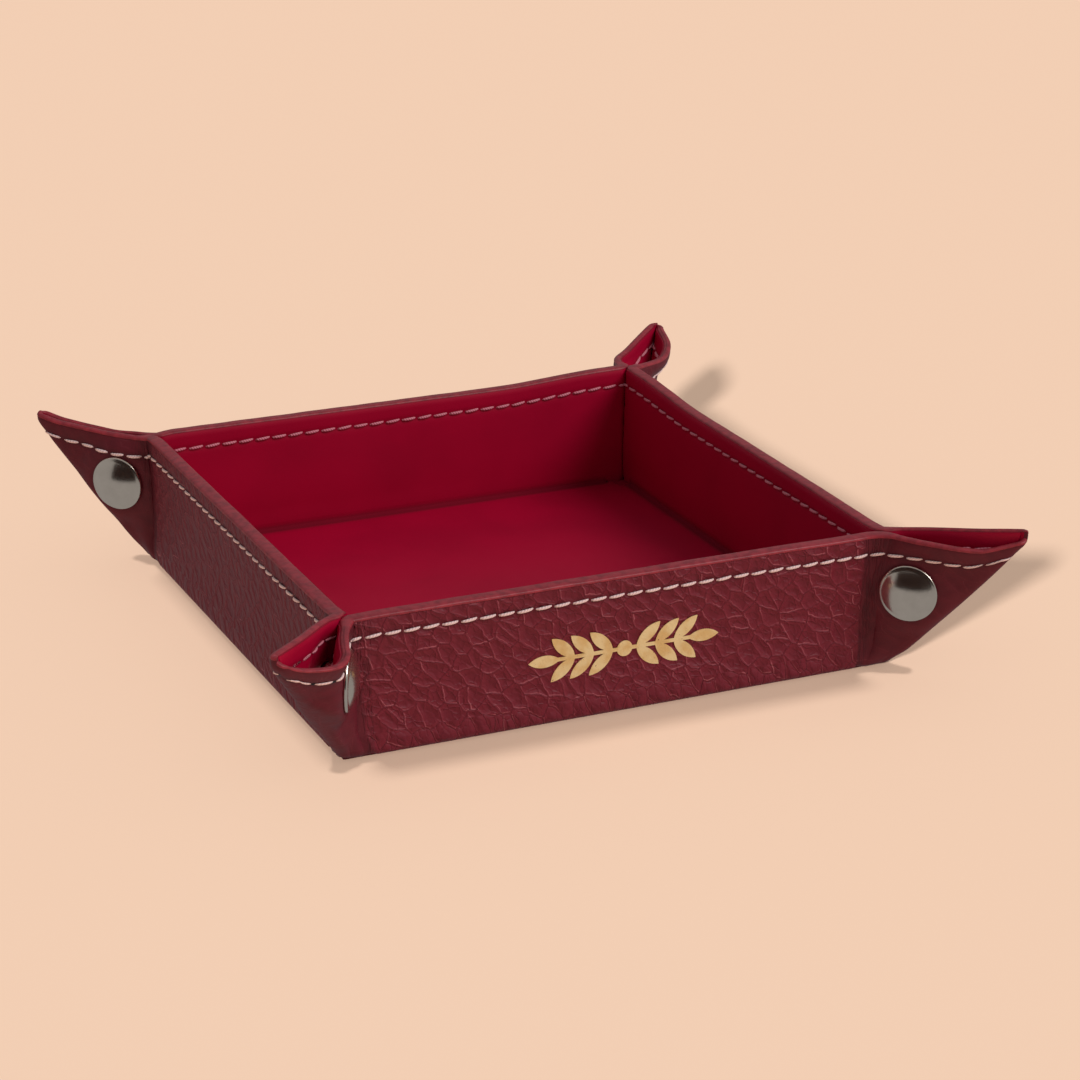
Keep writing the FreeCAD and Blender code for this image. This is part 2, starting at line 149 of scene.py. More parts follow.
def waves(u: np.ndarray, v: np.ndarray, seed: float, span: float) -> np.ndarray:
    """A soft, uneven swell over a sheet, between about -1 and 1.

    Args:
        u: places along the sheet.
        v: places up the sheet.
        seed: a number that makes this swell unlike the others.
        span: the rough distance from crest to crest.

    Returns:
        The height of the swell at each place.
    """
    total = np.zeros_like(u)
    for turn in range(5):
        angle = seed * 1.7 + turn * 2.4
        pitch = 2.0 * math.pi / (span * (0.7 + 0.22 * turn))
        total += np.sin((u * math.cos(angle) + v * math.sin(angle)) * pitch + seed * 5.1 + turn) / 5.0
    return total * 1.6


# ---------------------------------------------------------------- sizes and folding


@dataclass(frozen=True)
class Sheet:
    """The sizes of the glued sheet and of its creases.

    Attributes:
        leather: thickness of the outer leather.
        board: thickness of the stiffening board.
        lining: thickness of the lining.
        crease_reach: distance from the tray's middle to the axis of a base crease.
        crease_height: height of that axis.
        lean: angle by which the walls lean outwards, in radians.
        rim: height of the rim above that axis, along the wall.
        ear_crease: distance from a wall's middle to its ears' creases.
        tangent: how far the bend at the base reaches each way from its axis.
        outer_bend: radius of the bend in the outer face.
        hidden_bend: radius of the bend halfway through the sheet.
        inner_bend: radius of the bend in the lining's face.
        foot: how far the crease stands out at the foot of a wall.
        foot_fade: height over which it comes back to the wall's plane.
        board_end: distance from a wall's middle to its board's end.
        stitch_drop: how far the stitches lie below the rim.
        stitch_pitch: distance from one stitch to the next.
    """

    leather: float
    board: float
    lining: float
    crease_reach: float
    crease_height: float
    lean: float
    rim: float
    ear_crease: float
    tangent: float = 3.3
    outer_bend: float = 1.4
    hidden_bend: float = 0.7
    inner_bend: float = 0.35
    foot: float = 0.8
    foot_fade: float = 7.0
    board_end: float = 54.0
    stitch_drop: float = STITCH_DROP
    stitch_pitch: float = STITCH_PITCH

    @classmethod
    def from_frame(cls) -> "Sheet":
        """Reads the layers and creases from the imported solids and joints."""
        layers = [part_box(f"base_{part}") for part in ("outer_leather", "board", "lining")]
        leather, board, lining = ((high.z - low.z) / MM for low, high in layers)
        joints = {joint["name"]: joint for joint in frame["joints"]}
        fold = joints["wall_front_fold"]["pos_m"]
        ear = joints["ear_front_right_front_half_fold"]
        lean = math.asin(min(1.0, abs(ear["axis"][1])))
        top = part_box("wall_front_outer_leather")[1].z / MM
        half = (leather + board + lining) / 2.0
        return cls(
            leather=leather,
            board=board,
            lining=lining,
            crease_reach=abs(fold[1]) / MM,
            crease_height=fold[2] / MM,
            lean=lean,
            rim=(top - fold[2] / MM - half * math.sin(lean)) / math.cos(lean),
            ear_crease=abs(ear["pos_m"][0]) / MM,
        )

    @property
    def thickness(self) -> float:
        """All three layers together."""
        return self.leather + self.board + self.lining

    @property
    def upright(self) -> float:
        """The angle through which a wall is folded up from the base."""
        return math.pi / 2.0 - self.lean

    def section(self, y: np.ndarray, depth: np.ndarray) -> tuple[np.ndarray, ...]:
        """Folds a place on the sheet about the base crease.

        Args:
            y: height above the crease axis along the flat sheet.
            depth: depth below the outer face.

        Returns:
            Distance out from the tray's middle, height, and the outward and upward parts of the normal.
        """
        half = self.thickness / 2.0
        depths = (0.0, half, self.thickness)
        radius = np.interp(depth, depths, (self.outer_bend, self.hidden_bend, self.inner_bend))
        inner = radius + depth - half
        bend = inner * (1.0 - math.sin(self.lean)) / math.cos(self.lean)
        leg = self.tangent - bend
        path = 2.0 * leg + radius * self.upright
        run = np.clip((y + self.tangent) / (2.0 * self.tangent), 0.0, 1.0) * path
        turn = np.clip((run - leg) / radius, 0.0, self.upright)
        before = np.minimum(run - leg, 0.0) + np.minimum(y + self.tangent, 0.0)
        after = np.maximum(run - leg - radius * self.upright, 0.0) + np.maximum(y - self.tangent, 0.0)
        out = self.crease_reach - bend + radius * np.sin(turn) + after * math.sin(self.lean) + before
        up = self.crease_height + inner - radius * np.cos(turn) + after * math.cos(self.lean)
        fade = np.exp(-((np.maximum(y, 0.0) / self.foot_fade) ** 2))
        out = out + self.foot * smoothstep(turn / self.upright) * fade
        return out, up, np.sin(turn), -np.cos(turn)


@dataclass(frozen=True)
class EarShape:
    """How one half ear has taken its shape in use.

    Attributes:
        bulge: how far the leather swells out at the rim.
        bulge_place: share of the ear's length at which it swells most.
        bulge_depth: how far down from the rim the swelling reaches.
        neck: room beside the leather where the ear leaves the wall.
        rim_points: places along the ear, each with the rim's rise there.
        tip_reach: longest flat distance from the ear's crease to its fold.
        sway: how far the tip has moved away from the corner's diagonal.
        tilt: turn of the flat round the stud, in degrees.
        round_knee: whether the bend out of the wall is wide.
        full_foot: how much fuller than the diagonal the fold is at its foot.
        neck_rise: rise of the rim beside the bend out of the wall.
        start: how slowly the swelling starts.
        stud_lift: how much higher than usual the stud sits.
        grain_end: how far the pebble grain runs on past the board.
    """

    bulge: float = 1.2
    bulge_place: float = 0.45
    bulge_depth: float = 8.0
    neck: float = 0.4
    rim_points: tuple[tuple[float, float], ...] = ((0.0, 0.0), (0.5, 1.0), (1.0, 3.0))
    tip_reach: float = 31.4
    sway: float = 0.0
    tilt: float = 0.0
    round_knee: bool = False
    full_foot: float = 1.2
    neck_rise: float = 0.0
    start: float = 1.25
    stud_lift: float = 0.0
    grain_end: float = 0.0

    def rim_rise(self, share: np.ndarray) -> np.ndarray:
        """How far the ear's edge stands above the wall's, along the ear.

        Args:
            share: share of the way from the wall's board to the fold.

        Returns:
            The rise in millimetres, on a smooth line through the rim points.
        """
        places = np.array([p for p, _ in self.rim_points])
        rises = np.array([r for _, r in self.rim_points])
        fine = np.linspace(0.0, 1.0, 201)
        line = np.interp(fine, places, rises)
        kernel = np.hanning(41)
        padded = np.concatenate([2 * line[0] - line[20:0:-1], line, 2 * line[-1] - line[-2:-22:-1]])
        line = np.convolve(padded, kernel / kernel.sum(), mode="valid")
        line = line - line[0] * (1.0 - smoothstep(fine * 4.0))
        return np.interp(share, fine, line)


EAR_SHAPES = {
    ("front_left", "front"): EarShape(
        bulge=6.3, bulge_place=0.70, bulge_depth=15.0, neck=0.15, tilt=19.0, start=2.3, stud_lift=1.6,
        grain_end=3.8,
        rim_points=((0.0, 0.0), (0.3, -0.3), (0.7, -1.7), (0.9, -0.6), (1.0, 2.2)),
    ),
    ("front_left", "left"): EarShape(
        bulge=-0.4, neck=0.25, rim_points=((0.0, 0.0), (0.5, 1.6), (1.0, 3.2)),
    ),
    ("front_right", "front"): EarShape(
        bulge=2.6, bulge_place=0.62, tip_reach=32.0, full_foot=3.4, round_knee=True, neck_rise=-0.15,
        rim_points=((0.0, 0.0), (0.2, 0.6), (0.5, 0.4), (0.8, -0.3), (1.0, 2.4)),
    ),
    ("front_right", "right"): EarShape(
        bulge=0.6, tip_reach=32.0, full_foot=3.4, neck_rise=-0.15,
        rim_points=((0.0, 0.0), (0.3, 0.5), (0.6, 1.8), (0.85, 3.2), (1.0, 4.0)),
    ),
    ("back_left", "left"): EarShape(
        bulge=-1.2, tip_reach=30.6, full_foot=2.2,
        rim_points=((0.0, -0.5), (0.45, -0.5), (0.85, 0.7), (1.0, 2.0)),
    ),
    ("back_left", "back"): EarShape(
        bulge=-1.2, tip_reach=30.6, full_foot=2.2,
        rim_points=((0.0, -0.5), (0.45, -0.9), (0.85, 0.4), (1.0, 1.9)),
    ),
    ("back_right", "right"): EarShape(
        bulge=3.6, bulge_place=0.66, start=1.6, sway=-2.4, neck_rise=1.3,
        rim_points=((0.0, 0.0), (0.5, 0.6), (0.75, 2.2), (1.0, 3.4)),
    ),
    ("back_right", "back"): EarShape(
        bulge=2.8, bulge_place=0.3, sway=2.4, neck_rise=1.3,
        rim_points=((0.0, 0.0), (0.5, 0.9), (1.0, 3.8)),
    ),
}


@dataclass(frozen=True)
class EarFold:
    """Where the folded half ears go: their pinched line, their studs and their tips."""

    sheet: Sheet
    fold_offset: float = 2.3
    longest: float = 31.4
    stud_reach: float = 9.4
    stud_height: float = 17.2
    stud_flat: float = 6.8
    stud_fade: float = 4.2
    stud_slope: float = 0.0245
    parting: float = 0.9
    parting_place: float = 0.4
    nose: float = 1.02
    nose_length: float = 1.3
    spare_edge: float = 0.5
    raised_by: float = 5.5
    samples: int = 96

    def length(self, y: np.ndarray, reach: float, fuller: float = 0.0) -> np.ndarray:
        """Flat distance from the ear crease to the diagonal fold at a height, up to the tip's reach."""
        plain = y + self.fold_offset + fuller * np.clip(1.0 - (y / self.sheet.rim) ** 2, 0.0, 1.0)
        over = plain - reach
        return plain - (over + np.sqrt(over * over + 0.4)) / 2.0

    def span(self, y: np.ndarray) -> np.ndarray:
        """Flat distance from the wall's board to the diagonal fold at a height."""
        return self.sheet.ear_crease - self.sheet.board_end + self.length(np.maximum(y, 0.0), self.longest)

    def hump(self, share: float, place: float, start: float = 1.25) -> float:
        """A swelling between 0 at both ends and 1 at its place, slower to start with a higher start."""
        if share < place:
            return math.sin(math.pi / 2.0 * share / place) ** start
        return max(math.cos(math.pi / 2.0 * (share - place) / (1.0 - place)), 0.0) ** 1.1

    def polygon(self, y: np.ndarray, shape: EarShape) -> np.ndarray:
        """The line that one level of an ear follows, as a B-spline's control points.

        Args:
            y: heights above the base crease.
            shape: how this half ear has taken its shape.

        Returns:
            For each height, points of distance out along the diagonal and distance from its plane.
        """
        sheet = self.sheet
        wall_out = sheet.section(y, np.full_like(y, sheet.leather))[0]
        crease_out = (sheet.ear_crease + wall_out) / ROOT_TWO
        start = np.stack([wall_out + sheet.board_end, wall_out - sheet.board_end], -1) / ROOT_TWO
        neck = sheet.leather + shape.neck
        knee = np.stack([wall_out * ROOT_TWO - neck, np.full_like(y, neck)], -1)
        square_out = wall_out * ROOT_TWO
        spare = crease_out + self.length(y, shape.tip_reach, shape.full_foot) - self.spare_edge - square_out
        ramp = smoothstep((y + sheet.tangent) / (2.0 * sheet.tangent))
        fold_out = square_out + ramp * (spare + np.sqrt(spare * spare + 4.0)) / 2.0
        nose_out = fold_out - self.nose_length
        points = [start, mix(knee, start, 0.45 if shape.round_knee else 0.22)]
        if not shape.round_knee:
            points.append(knee)
        first = 0.12 if shape.round_knee else 0.035
        shares = [first, 0.15, 0.23, 0.32, 0.43, 0.54, 0.65, 0.76, 0.87, 1.0]
        tilt = math.tan(math.radians(shape.tilt))
        stud_out = crease_out + self.stud_reach
        free = smoothstep((y - (sheet.rim - shape.bulge_depth)) / shape.bulge_depth)
        for share in shares:
            out = mix(knee[:, 0], nose_out, share)
            parted = neck + self.parting * self.hump(share, self.parting_place)
            closed = mix(parted, self.nose, smoothstep(np.asarray(share)))
            swelling = shape.bulge * free * self.hump(share, shape.bulge_place, shape.start)
            bulged = np.maximum(closed + swelling, self.nose)
            flat = (wall_out - sheet.ear_crease) / ROOT_TWO - self.stud_slope * (out - crease_out)
            flat = flat + tilt * (out - stud_out)
            apart = np.hypot(out - stud_out, y - self.stud_height - shape.stud_lift)
            seated = 1.0 - smoothstep((apart - self.stud_flat) / self.stud_fade)
            across = mix(bulged, flat, seated)
            points.append(np.stack([out, across], -1))
        points.append(np.stack([fold_out, np.full_like(y, self.nose)], -1))
        points.append(np.stack([fold_out, np.zeros_like(y)], -1))
        eared = np.stack(points, 1)
        end = np.stack([fold_out, np.zeros_like(y)], -1)
        along = np.linspace(0.0, 1.0, eared.shape[1])[None, :, None]
        plain = mix(start[:, None, :], end[:, None, :], along)
        raised = smoothstep((y + sheet.tangent) / (self.raised_by + sheet.tangent))[:, None, None]
        return mix(plain, eared, raised)

    def basis(self, count: int) -> np.ndarray:
        """Weights of a clamped quadratic B-spline's control points at even steps."""
        knots = np.concatenate([[0.0, 0.0], np.linspace(0.0, 1.0, count - 1), [1.0, 1.0]])
        at = np.linspace(0.0, 1.0, self.samples)
        weights = [((at >= knots[i]) & (at < knots[i + 1])).astype(float) for i in range(len(knots) - 1)]
        weights[count - 1][-1] = 1.0
        for degree in (1, 2):
            raised = []
            for i in range(len(knots) - 1 - degree):
                left, right = knots[i + degree] - knots[i], knots[i + degree + 1] - knots[i + 1]
                rise = (at - knots[i]) / left * weights[i] if left > 0 else 0.0
                fall = (knots[i + degree + 1] - at) / right * weights[i + 1] if right > 0 else 0.0
                raised.append(rise + fall)
            weights = raised
        return np.stack(weights, -1)

    def follow(self, share: np.ndarray, y: np.ndarray, shape: EarShape) -> tuple[np.ndarray, ...]:
        """Places and directions along the ear's lines.

        Args:
            share: share of the way from the board's end to the fold, for each place.
            y: height of each place.
            shape: how this half ear has taken its shape.

        Returns:
            Points on the line, the outward normals there, and the length of each line.
        """
        control = self.polygon(y, shape)
        lines = np.einsum("sc,ncd->nsd", self.basis(control.shape[1]), control)
        steps = np.linalg.norm(np.diff(lines, axis=1), axis=2)
        run = np.concatenate([np.zeros((len(y), 1)), np.cumsum(steps, axis=1)], axis=1)
        total = run[:, -1]
        target = share * total
        points = np.empty((len(y), 2))
        normals = np.empty((len(y), 2))
        tangents = np.gradient(lines, axis=1)
        tangents /= np.maximum(np.linalg.norm(tangents, axis=2, keepdims=True), 1e-9)
        for i in range(len(y)):
            for axis in (0, 1):
                points[i, axis] = np.interp(target[i], run[i], lines[i, :, axis])
                normals[i, axis] = np.interp(target[i], run[i], tangents[i, :, axis])
        normals /= np.maximum(np.linalg.norm(normals, axis=1, keepdims=True), 1e-9)
        return points, np.stack([-normals[:, 1], normals[:, 0]], -1), total


@dataclass(frozen=True)
class Folding:
    """Puts flat places on one wall, with its half ears, where the folded sheet has them.

    A column from -1 to 1 lies on the wall between its boards' ends. Columns on to 2 and back to -2 lie
    on the half ears, and end at their diagonal folds.
    """

    sheet: Sheet
    wall: Wall

    def ear(self, end: int) -> EarShape:
        """The shape of the half ear at one end."""
        return EAR_SHAPES[(self.wall.corner(end), self.wall.title)]

    def rim(self, column: np.ndarray) -> np.ndarray:
        """Height of the sheet's edge above the base crease at each column."""
        height = np.full_like(column, self.sheet.rim)
        for end in (1, -1):
            beyond = column * end - 1.0
            shape = self.ear(end)
            height = height + shape.rim_rise(np.clip(beyond, 0.0, 1.0))
            near = np.where(beyond < 0.0, -beyond * self.sheet.board_end / 30.0, beyond * 1.6)
            height = height + shape.neck_rise * (1.0 - smoothstep(near))
        return height

    def layer_depth(self, share: np.ndarray, y: np.ndarray, depth: np.ndarray) -> np.ndarray:
        """Depth once the board has ended, because the lining then lies on the leather."""
        beyond = smoothstep((share * EarFold(self.sheet).span(y) - 4.0) / 4.5)
        inside = np.clip((depth - self.sheet.leather) / self.sheet.board, 0.0, 1.0)
        return depth - inside * self.sheet.board * beyond

    def flat(self, column: np.ndarray, y: np.ndarray) -> np.ndarray:
        """Flat millimetres of each place, measured along the wall and up it."""
        beyond = np.clip(np.abs(column) - 1.0, 0.0, 1.0)
        along = np.clip(np.abs(column), 0.0, 1.0) * self.sheet.board_end
        return np.stack([np.sign(column) * (along + beyond * EarFold(self.sheet).span(y)), y], -1)

    def place(self, column: np.ndarray, y: np.ndarray, depth: np.ndarray) -> np.ndarray:
        """Folds places on the sheet.

        Args:
            column: column of each place.
            y: height of each place above the base crease, along the sheet.
            depth: depth of each place below the outer face, with the board counted.

        Returns:
            The places in the tray's frame, in millimetres.
        """
        sheet = self.sheet
        out, up = sheet.section(y, depth)[:2]
        local = np.stack([column * sheet.board_end, out, up], -1)
        for end in (1, -1):
            chosen = np.flatnonzero(column * end > 1.0)
            if len(chosen):
                local[chosen] = self.place_ear(end, column[chosen] * end - 1.0, y[chosen], depth[chosen])
        turn = math.radians(self.wall.value)
        x, n = local[:, 0], local[:, 1]
        turned_x = x * math.cos(turn) - n * math.sin(turn)
        turned_y = x * math.sin(turn) + n * math.cos(turn)
        return np.stack([turned_x, turned_y, local[:, 2]], -1)

    def place_ear(self, end: int, share: np.ndarray, y: np.ndarray, depth: np.ndarray) -> np.ndarray:
        """Folds places on the half ear at one end, in the wall's own frame."""
        sheet = self.sheet
        ear = EarFold(sheet)
        points, normals, total = ear.follow(share, y, self.ear(end))
        _, up, normal_out, normal_up = sheet.section(y, np.full_like(y, sheet.leather))
        settled = self.layer_depth(share, y, depth)
        offset = sheet.leather - settled
        from_fold = (1.0 - share) * total
        offset = offset * mix(0.72, 1.0, smoothstep(from_fold / 3.0))
        inward = np.maximum(-offset * normal_out, 0.0)
        room = np.maximum(points[:, 1] - 0.04, 0.0) / np.maximum(normals[:, 1], 0.35)
        limited = np.where(inward > room, room / np.maximum(inward, 1e-9), 1.0)
        offset = np.where(offset < 0.0, offset * limited, offset)
        spread = points + normals * (offset * normal_out)[:, None]
        apart = np.where(share > 0.9999, 0.0, np.maximum(spread[:, 1], 0.0))
        shape = self.ear(end)
        apart = apart + shape.sway * smoothstep((share - 0.35) / 0.65) * smoothstep((y - 12.0) / 18.0)
        x = end * (spread[:, 0] - apart) / ROOT_TWO
        out = (spread[:, 0] + apart) / ROOT_TWO
        return np.stack([x, out, up + offset * normal_up], -1)


# ---------------------------------------------------------------- meshes


def vertex_array(bm: bmesh.types.BMesh) -> np.ndarray:
    """The places of a bmesh's vertices, one row each."""
    return np.array([vertex.co for vertex in bm.verts], float).reshape(-1, 3)


def move_vertices(bm: bmesh.types.BMesh, places: np.ndarray) -> None:
    """Moves a bmesh's vertices to the given places, in millimetres."""
    for vertex, place in zip(bm.verts, places * MM):
        vertex.co = place


def column_at(share: np.ndarray, columns: np.ndarray) -> np.ndarray:
    """The column at each share of the way along a row of columns."""
    return np.interp(share, np.linspace(0.0, 1.0, len(columns)), columns)


def slab_grid(columns: int, rows: int) -> bmesh.types.BMesh:
    """A thin closed slab over the unit square, with its front at z = 0 and its back at z = 1.

    Args:
        columns: faces along the square.
        rows: faces up the square.

    Returns:
        The slab. Its front faces look towards -z.
    """
    bm = bmesh.new()
    bmesh.ops.create_grid(bm, x_segments=columns, y_segments=rows, size=0.5)
    bmesh.ops.translate(bm, verts=bm.verts[:], vec=(0.5, 0.5, 0.0))
    back = bmesh.ops.duplicate(bm, geom=bm.verts[:] + bm.edges[:] + bm.faces[:])["geom"]
    back_vertices = [part for part in back if isinstance(part, bmesh.types.BMVert)]
    bmesh.ops.translate(bm, verts=back_vertices, vec=(0.0, 0.0, 1.0))
    back_set = set(back_vertices)
    front_faces = [face for face in bm.faces if face.verts[0] not in back_set]
    bmesh.ops.reverse_faces(bm, faces=front_faces)
    borders = [edge for edge in bm.edges if edge.is_boundary]
    for edge in borders:
        edge.smooth = False
    bmesh.ops.bridge_loops(bm, edges=borders)
    bm.verts.ensure_lookup_table()
    return bm


def write_mesh(name: str, bm: bmesh.types.BMesh) -> bpy.types.Object:
    """Turns a bmesh into an object at the origin and frees the bmesh.

    Args:
        name: name of the object.
        bm: the shape, in metres.

    Returns:
        The new object, shaded smooth.
    """
    bmesh.ops.recalc_face_normals(bm, faces=bm.faces[:])
    mesh = bpy.data.meshes.new(name)
    for face in bm.faces:
        face.smooth = True
    bm.to_mesh(mesh)
    bm.free()
    piece = bpy.data.objects.new(name, mesh)
    bpy.context.scene.collection.objects.link(piece)
    return piece


def write_uv(piece: bpy.types.Object, name: str, values: np.ndarray) -> None:
    """Gives a piece a UV map with one value for each vertex."""
    layer = piece.data.uv_layers.new(name=name)
    corners = np.zeros(len(piece.data.loops), np.int32)
    piece.data.loops.foreach_get("vertex_index", corners)
    layer.data.foreach_set("uv", values[corners].astype(np.float32).ravel())


def write_attribute(piece: bpy.types.Object, name: str, values: np.ndarray) -> None:
    """Gives a piece a number for each vertex, which its finish reads."""
    attribute = piece.data.attributes.new(name, "FLOAT", "POINT")
    attribute.data.foreach_set("value", values.astype(np.float32))


# ---------------------------------------------------------------- shader graph


@dataclass(frozen=True)
class Wire:
    """A number on an output socket. Python's signs on it add Math nodes."""

    graph: "Graph"
    socket: bpy.types.NodeSocket

    def _math(self, operation: str, first: "Wire | float", second: "Wire | float") -> "Wire":
        """One Math node on two numbers."""
        return self.graph.wire("ShaderNodeMath", {"operation": operation}, {0: first, 1: second})

    def __add__(self, other: "Wire | float") -> "Wire":
        """self + other."""
        return self._math("ADD", self, other)

    def __radd__(self, other: float) -> "Wire":
        """other + self."""
        return self._math("ADD", other, self)

    def __sub__(self, other: "Wire | float") -> "Wire":
        """self - other."""
        return self._math("SUBTRACT", self, other)

    def __rsub__(self, other: float) -> "Wire":
        """other - self."""
        return self._math("SUBTRACT", other, self)

    def __mul__(self, other: "Wire | float") -> "Wire":
        """self * other."""
        return self._math("MULTIPLY", self, other)

    def __rmul__(self, other: float) -> "Wire":
        """other * self."""
        return self._math("MULTIPLY", other, self)

    def __pow__(self, other: float) -> "Wire":
        """self to a power."""
        return self._math("POWER", self, other)

    def ramp(self, low: float, high: float) -> "Wire":
        """An even climb from 0 at low to 1 at high, held to that range and eased at both ends."""
        settings = {"interpolation_type": "SMOOTHSTEP", "clamp": True}
        inputs = {"Value": self, "From Min": low, "From Max": high}
        return self.graph.wire("ShaderNodeMapRange", settings, inputs)

    def lesser(self, other: "Wire | float") -> "Wire":
        """The smaller of two numbers."""
        return self._math("MINIMUM", self, other)

    def size(self) -> "Wire":
        """The number without its sign."""
        return self._math("ABSOLUTE", self, 0.0)

    def fraction(self) -> "Wire":
        """What is left after the whole part."""
        return self._math("FRACT", self, 0.0)


class Graph:
    """The nodes of one material."""

    def __init__(self, name: str) -> None:
        """Starts an empty material with an output node."""
        self.material = bpy.data.materials.new(name)
        self.material.use_nodes = True
        self.tree = self.material.node_tree
        self.tree.nodes.clear()
        self.output = self.tree.nodes.new("ShaderNodeOutputMaterial")

    def node(self, kind: str, settings: dict | None = None, inputs: dict | None = None) -> bpy.types.Node:
        """Adds a node.

        Args:
            kind: Blender's name for the node's type.
            settings: its own settings, set first.
            inputs: values or wires for its sockets, by name or number.

        Returns:
            The node.
        """
        node = self.tree.nodes.new(kind)
        for key, value in (settings or {}).items():
            setattr(node, key, value)
        for key, value in (inputs or {}).items():
            if isinstance(value, Wire):
                self.tree.links.new(value.socket, node.inputs[key])
            else:
                node.inputs[key].default_value = value
        return node

    def wire(
        self, kind: str, settings: dict | None = None, inputs: dict | None = None, output: int | str = 0
    ) -> Wire:
        """Adds a node and gives one of its outputs."""
        return Wire(self, self.node(kind, settings, inputs).outputs[output])

    def colour_mix(self, share: Wire | float, first: Wire | tuple, second: Wire | tuple) -> Wire:
        """A colour between two others."""
        return self.wire("ShaderNodeMix", {"data_type": "RGBA"}, {0: share, 6: first, 7: second}, output=2)

    def uv(self, name: str) -> Wire:
        """A UV map of the piece, in flat millimetres."""
        wire = self.wire("ShaderNodeUVMap", {"uv_map": name})
        return self.scaled(wire, (UV_SPAN, UV_SPAN, UV_SPAN))

    def local(self) -> Wire:
        """The piece's own coordinates, in millimetres."""
        coordinates = self.wire("ShaderNodeTexCoord", output="Object")
        return self.scaled(coordinates, (1.0 / MM, 1.0 / MM, 1.0 / MM))

    def scaled(self, vector: Wire, factors: tuple[float, float, float]) -> Wire:
        """A vector multiplied along each axis."""
        return self.wire("ShaderNodeVectorMath", {"operation": "MULTIPLY"}, {0: vector, 1: factors})

    def turned(self, vector: Wire, degrees: float) -> Wire:
        """A vector turned about z."""
        rotation = (0.0, 0.0, math.radians(degrees))
        return self.wire("ShaderNodeMapping", None, {"Vector": vector, "Rotation": rotation})

    def split(self, vector: Wire) -> tuple[Wire, Wire]:
        """The first two parts of a vector."""
        node = self.node("ShaderNodeSeparateXYZ", None, {0: vector})
        return Wire(self, node.outputs[0]), Wire(self, node.outputs[1])

    def noise(self, vector: Wire, span: float, detail: float = 3.0, rough: float = 0.5) -> Wire:
        """Smooth noise between 0 and 1 whose lumps are about this many millimetres across."""
        inputs = {"Vector": vector, "Scale": 1.0 / span, "Detail": detail, "Roughness": rough}
        return self.wire("ShaderNodeTexNoise", None, inputs)

    def warped(self, vector: Wire, span: float, amount: float) -> Wire:
        """A vector pushed about by noise."""
        inputs = {"Vector": vector, "Scale": 1.0 / span, "Detail": 2.0}
        shift = self.wire("ShaderNodeTexNoise", None, inputs, output="Color")
        centred = self.wire("ShaderNodeVectorMath", {"operation": "SUBTRACT"}, {0: shift, 1: (0.5, 0.5, 0.5)})
        moved = self.scaled(centred, (amount, amount, amount))
        return self.wire("ShaderNodeVectorMath", {"operation": "ADD"}, {0: vector, 1: moved})

    def cells(self, vector: Wire) -> Wire:
        """The distance to the borders of cells about one unit across."""
        settings = {"feature": "DISTANCE_TO_EDGE", "voronoi_dimensions": "2D"}
        return self.wire("ShaderNodeTexVoronoi", settings, {"Vector": vector, "Scale": 1.0})

    def attribute(self, name: str) -> Wire:
        """A number that the piece holds for each vertex."""
        return self.wire("ShaderNodeAttribute", {"attribute_name": name}, output="Fac")

    def seam(self, groove: tuple[float, float], hole: tuple[float, float]) -> tuple[Wire, Wire, Wire]:
        """What the stitching leaves in a sheet.

        Args:
            groove: distances from the line at which its dent ends, at full depth and at none.
            hole: distances from a hole's middle at which it ends, at full depth and at none.

        Returns:
            The distance below the rim, the dent along the line, and the holes.
        """
        phase, drop = self.split(self.uv("rim"))
        below = drop - STITCH_DROP
        along = ((phase.fraction() - 0.5) * STITCH_PITCH) ** 2.0
        apart = (along * 0.75 + below ** 2.0 * 2.6) ** 0.5
        return drop, 1.0 - below.size().ramp(*groove), 1.0 - apart.ramp(*hole)

    def bump(self, height: Wire, distance: float) -> Wire:
        """A bumped normal from heights that are multiples of this distance in millimetres."""
        inputs = {"Height": height, "Distance": distance * MM, "Strength": 1.0}
        return self.wire("ShaderNodeBump", None, inputs)

    def finish(self, **inputs: "Wire | float | tuple") -> bpy.types.Material:
        """Puts a Principled shader on the output.

        Args:
            inputs: values for its sockets, with underscores for spaces.

        Returns:
            The material.
        """
        named = {key.replace("_", " "): value for key, value in inputs.items()}
        shader = self.node("ShaderNodeBsdfPrincipled", None, named)
        self.tree.links.new(shader.outputs[0], self.output.inputs[0])
        return self.material


def tone(red: float, green: float, blue: float) -> tuple[float, float, float, float]:
    """A colour given as it shows on a screen, 0 to 255, made linear."""
    parts = []
    for value in (red, green, blue):
        share = value / 255.0
        parts.append(share / 12.92 if share <= 0.04045 else ((share + 0.055) / 1.055) ** 2.4)
    return (*parts, 1.0)


# ---------------------------------------------------------------- finishes


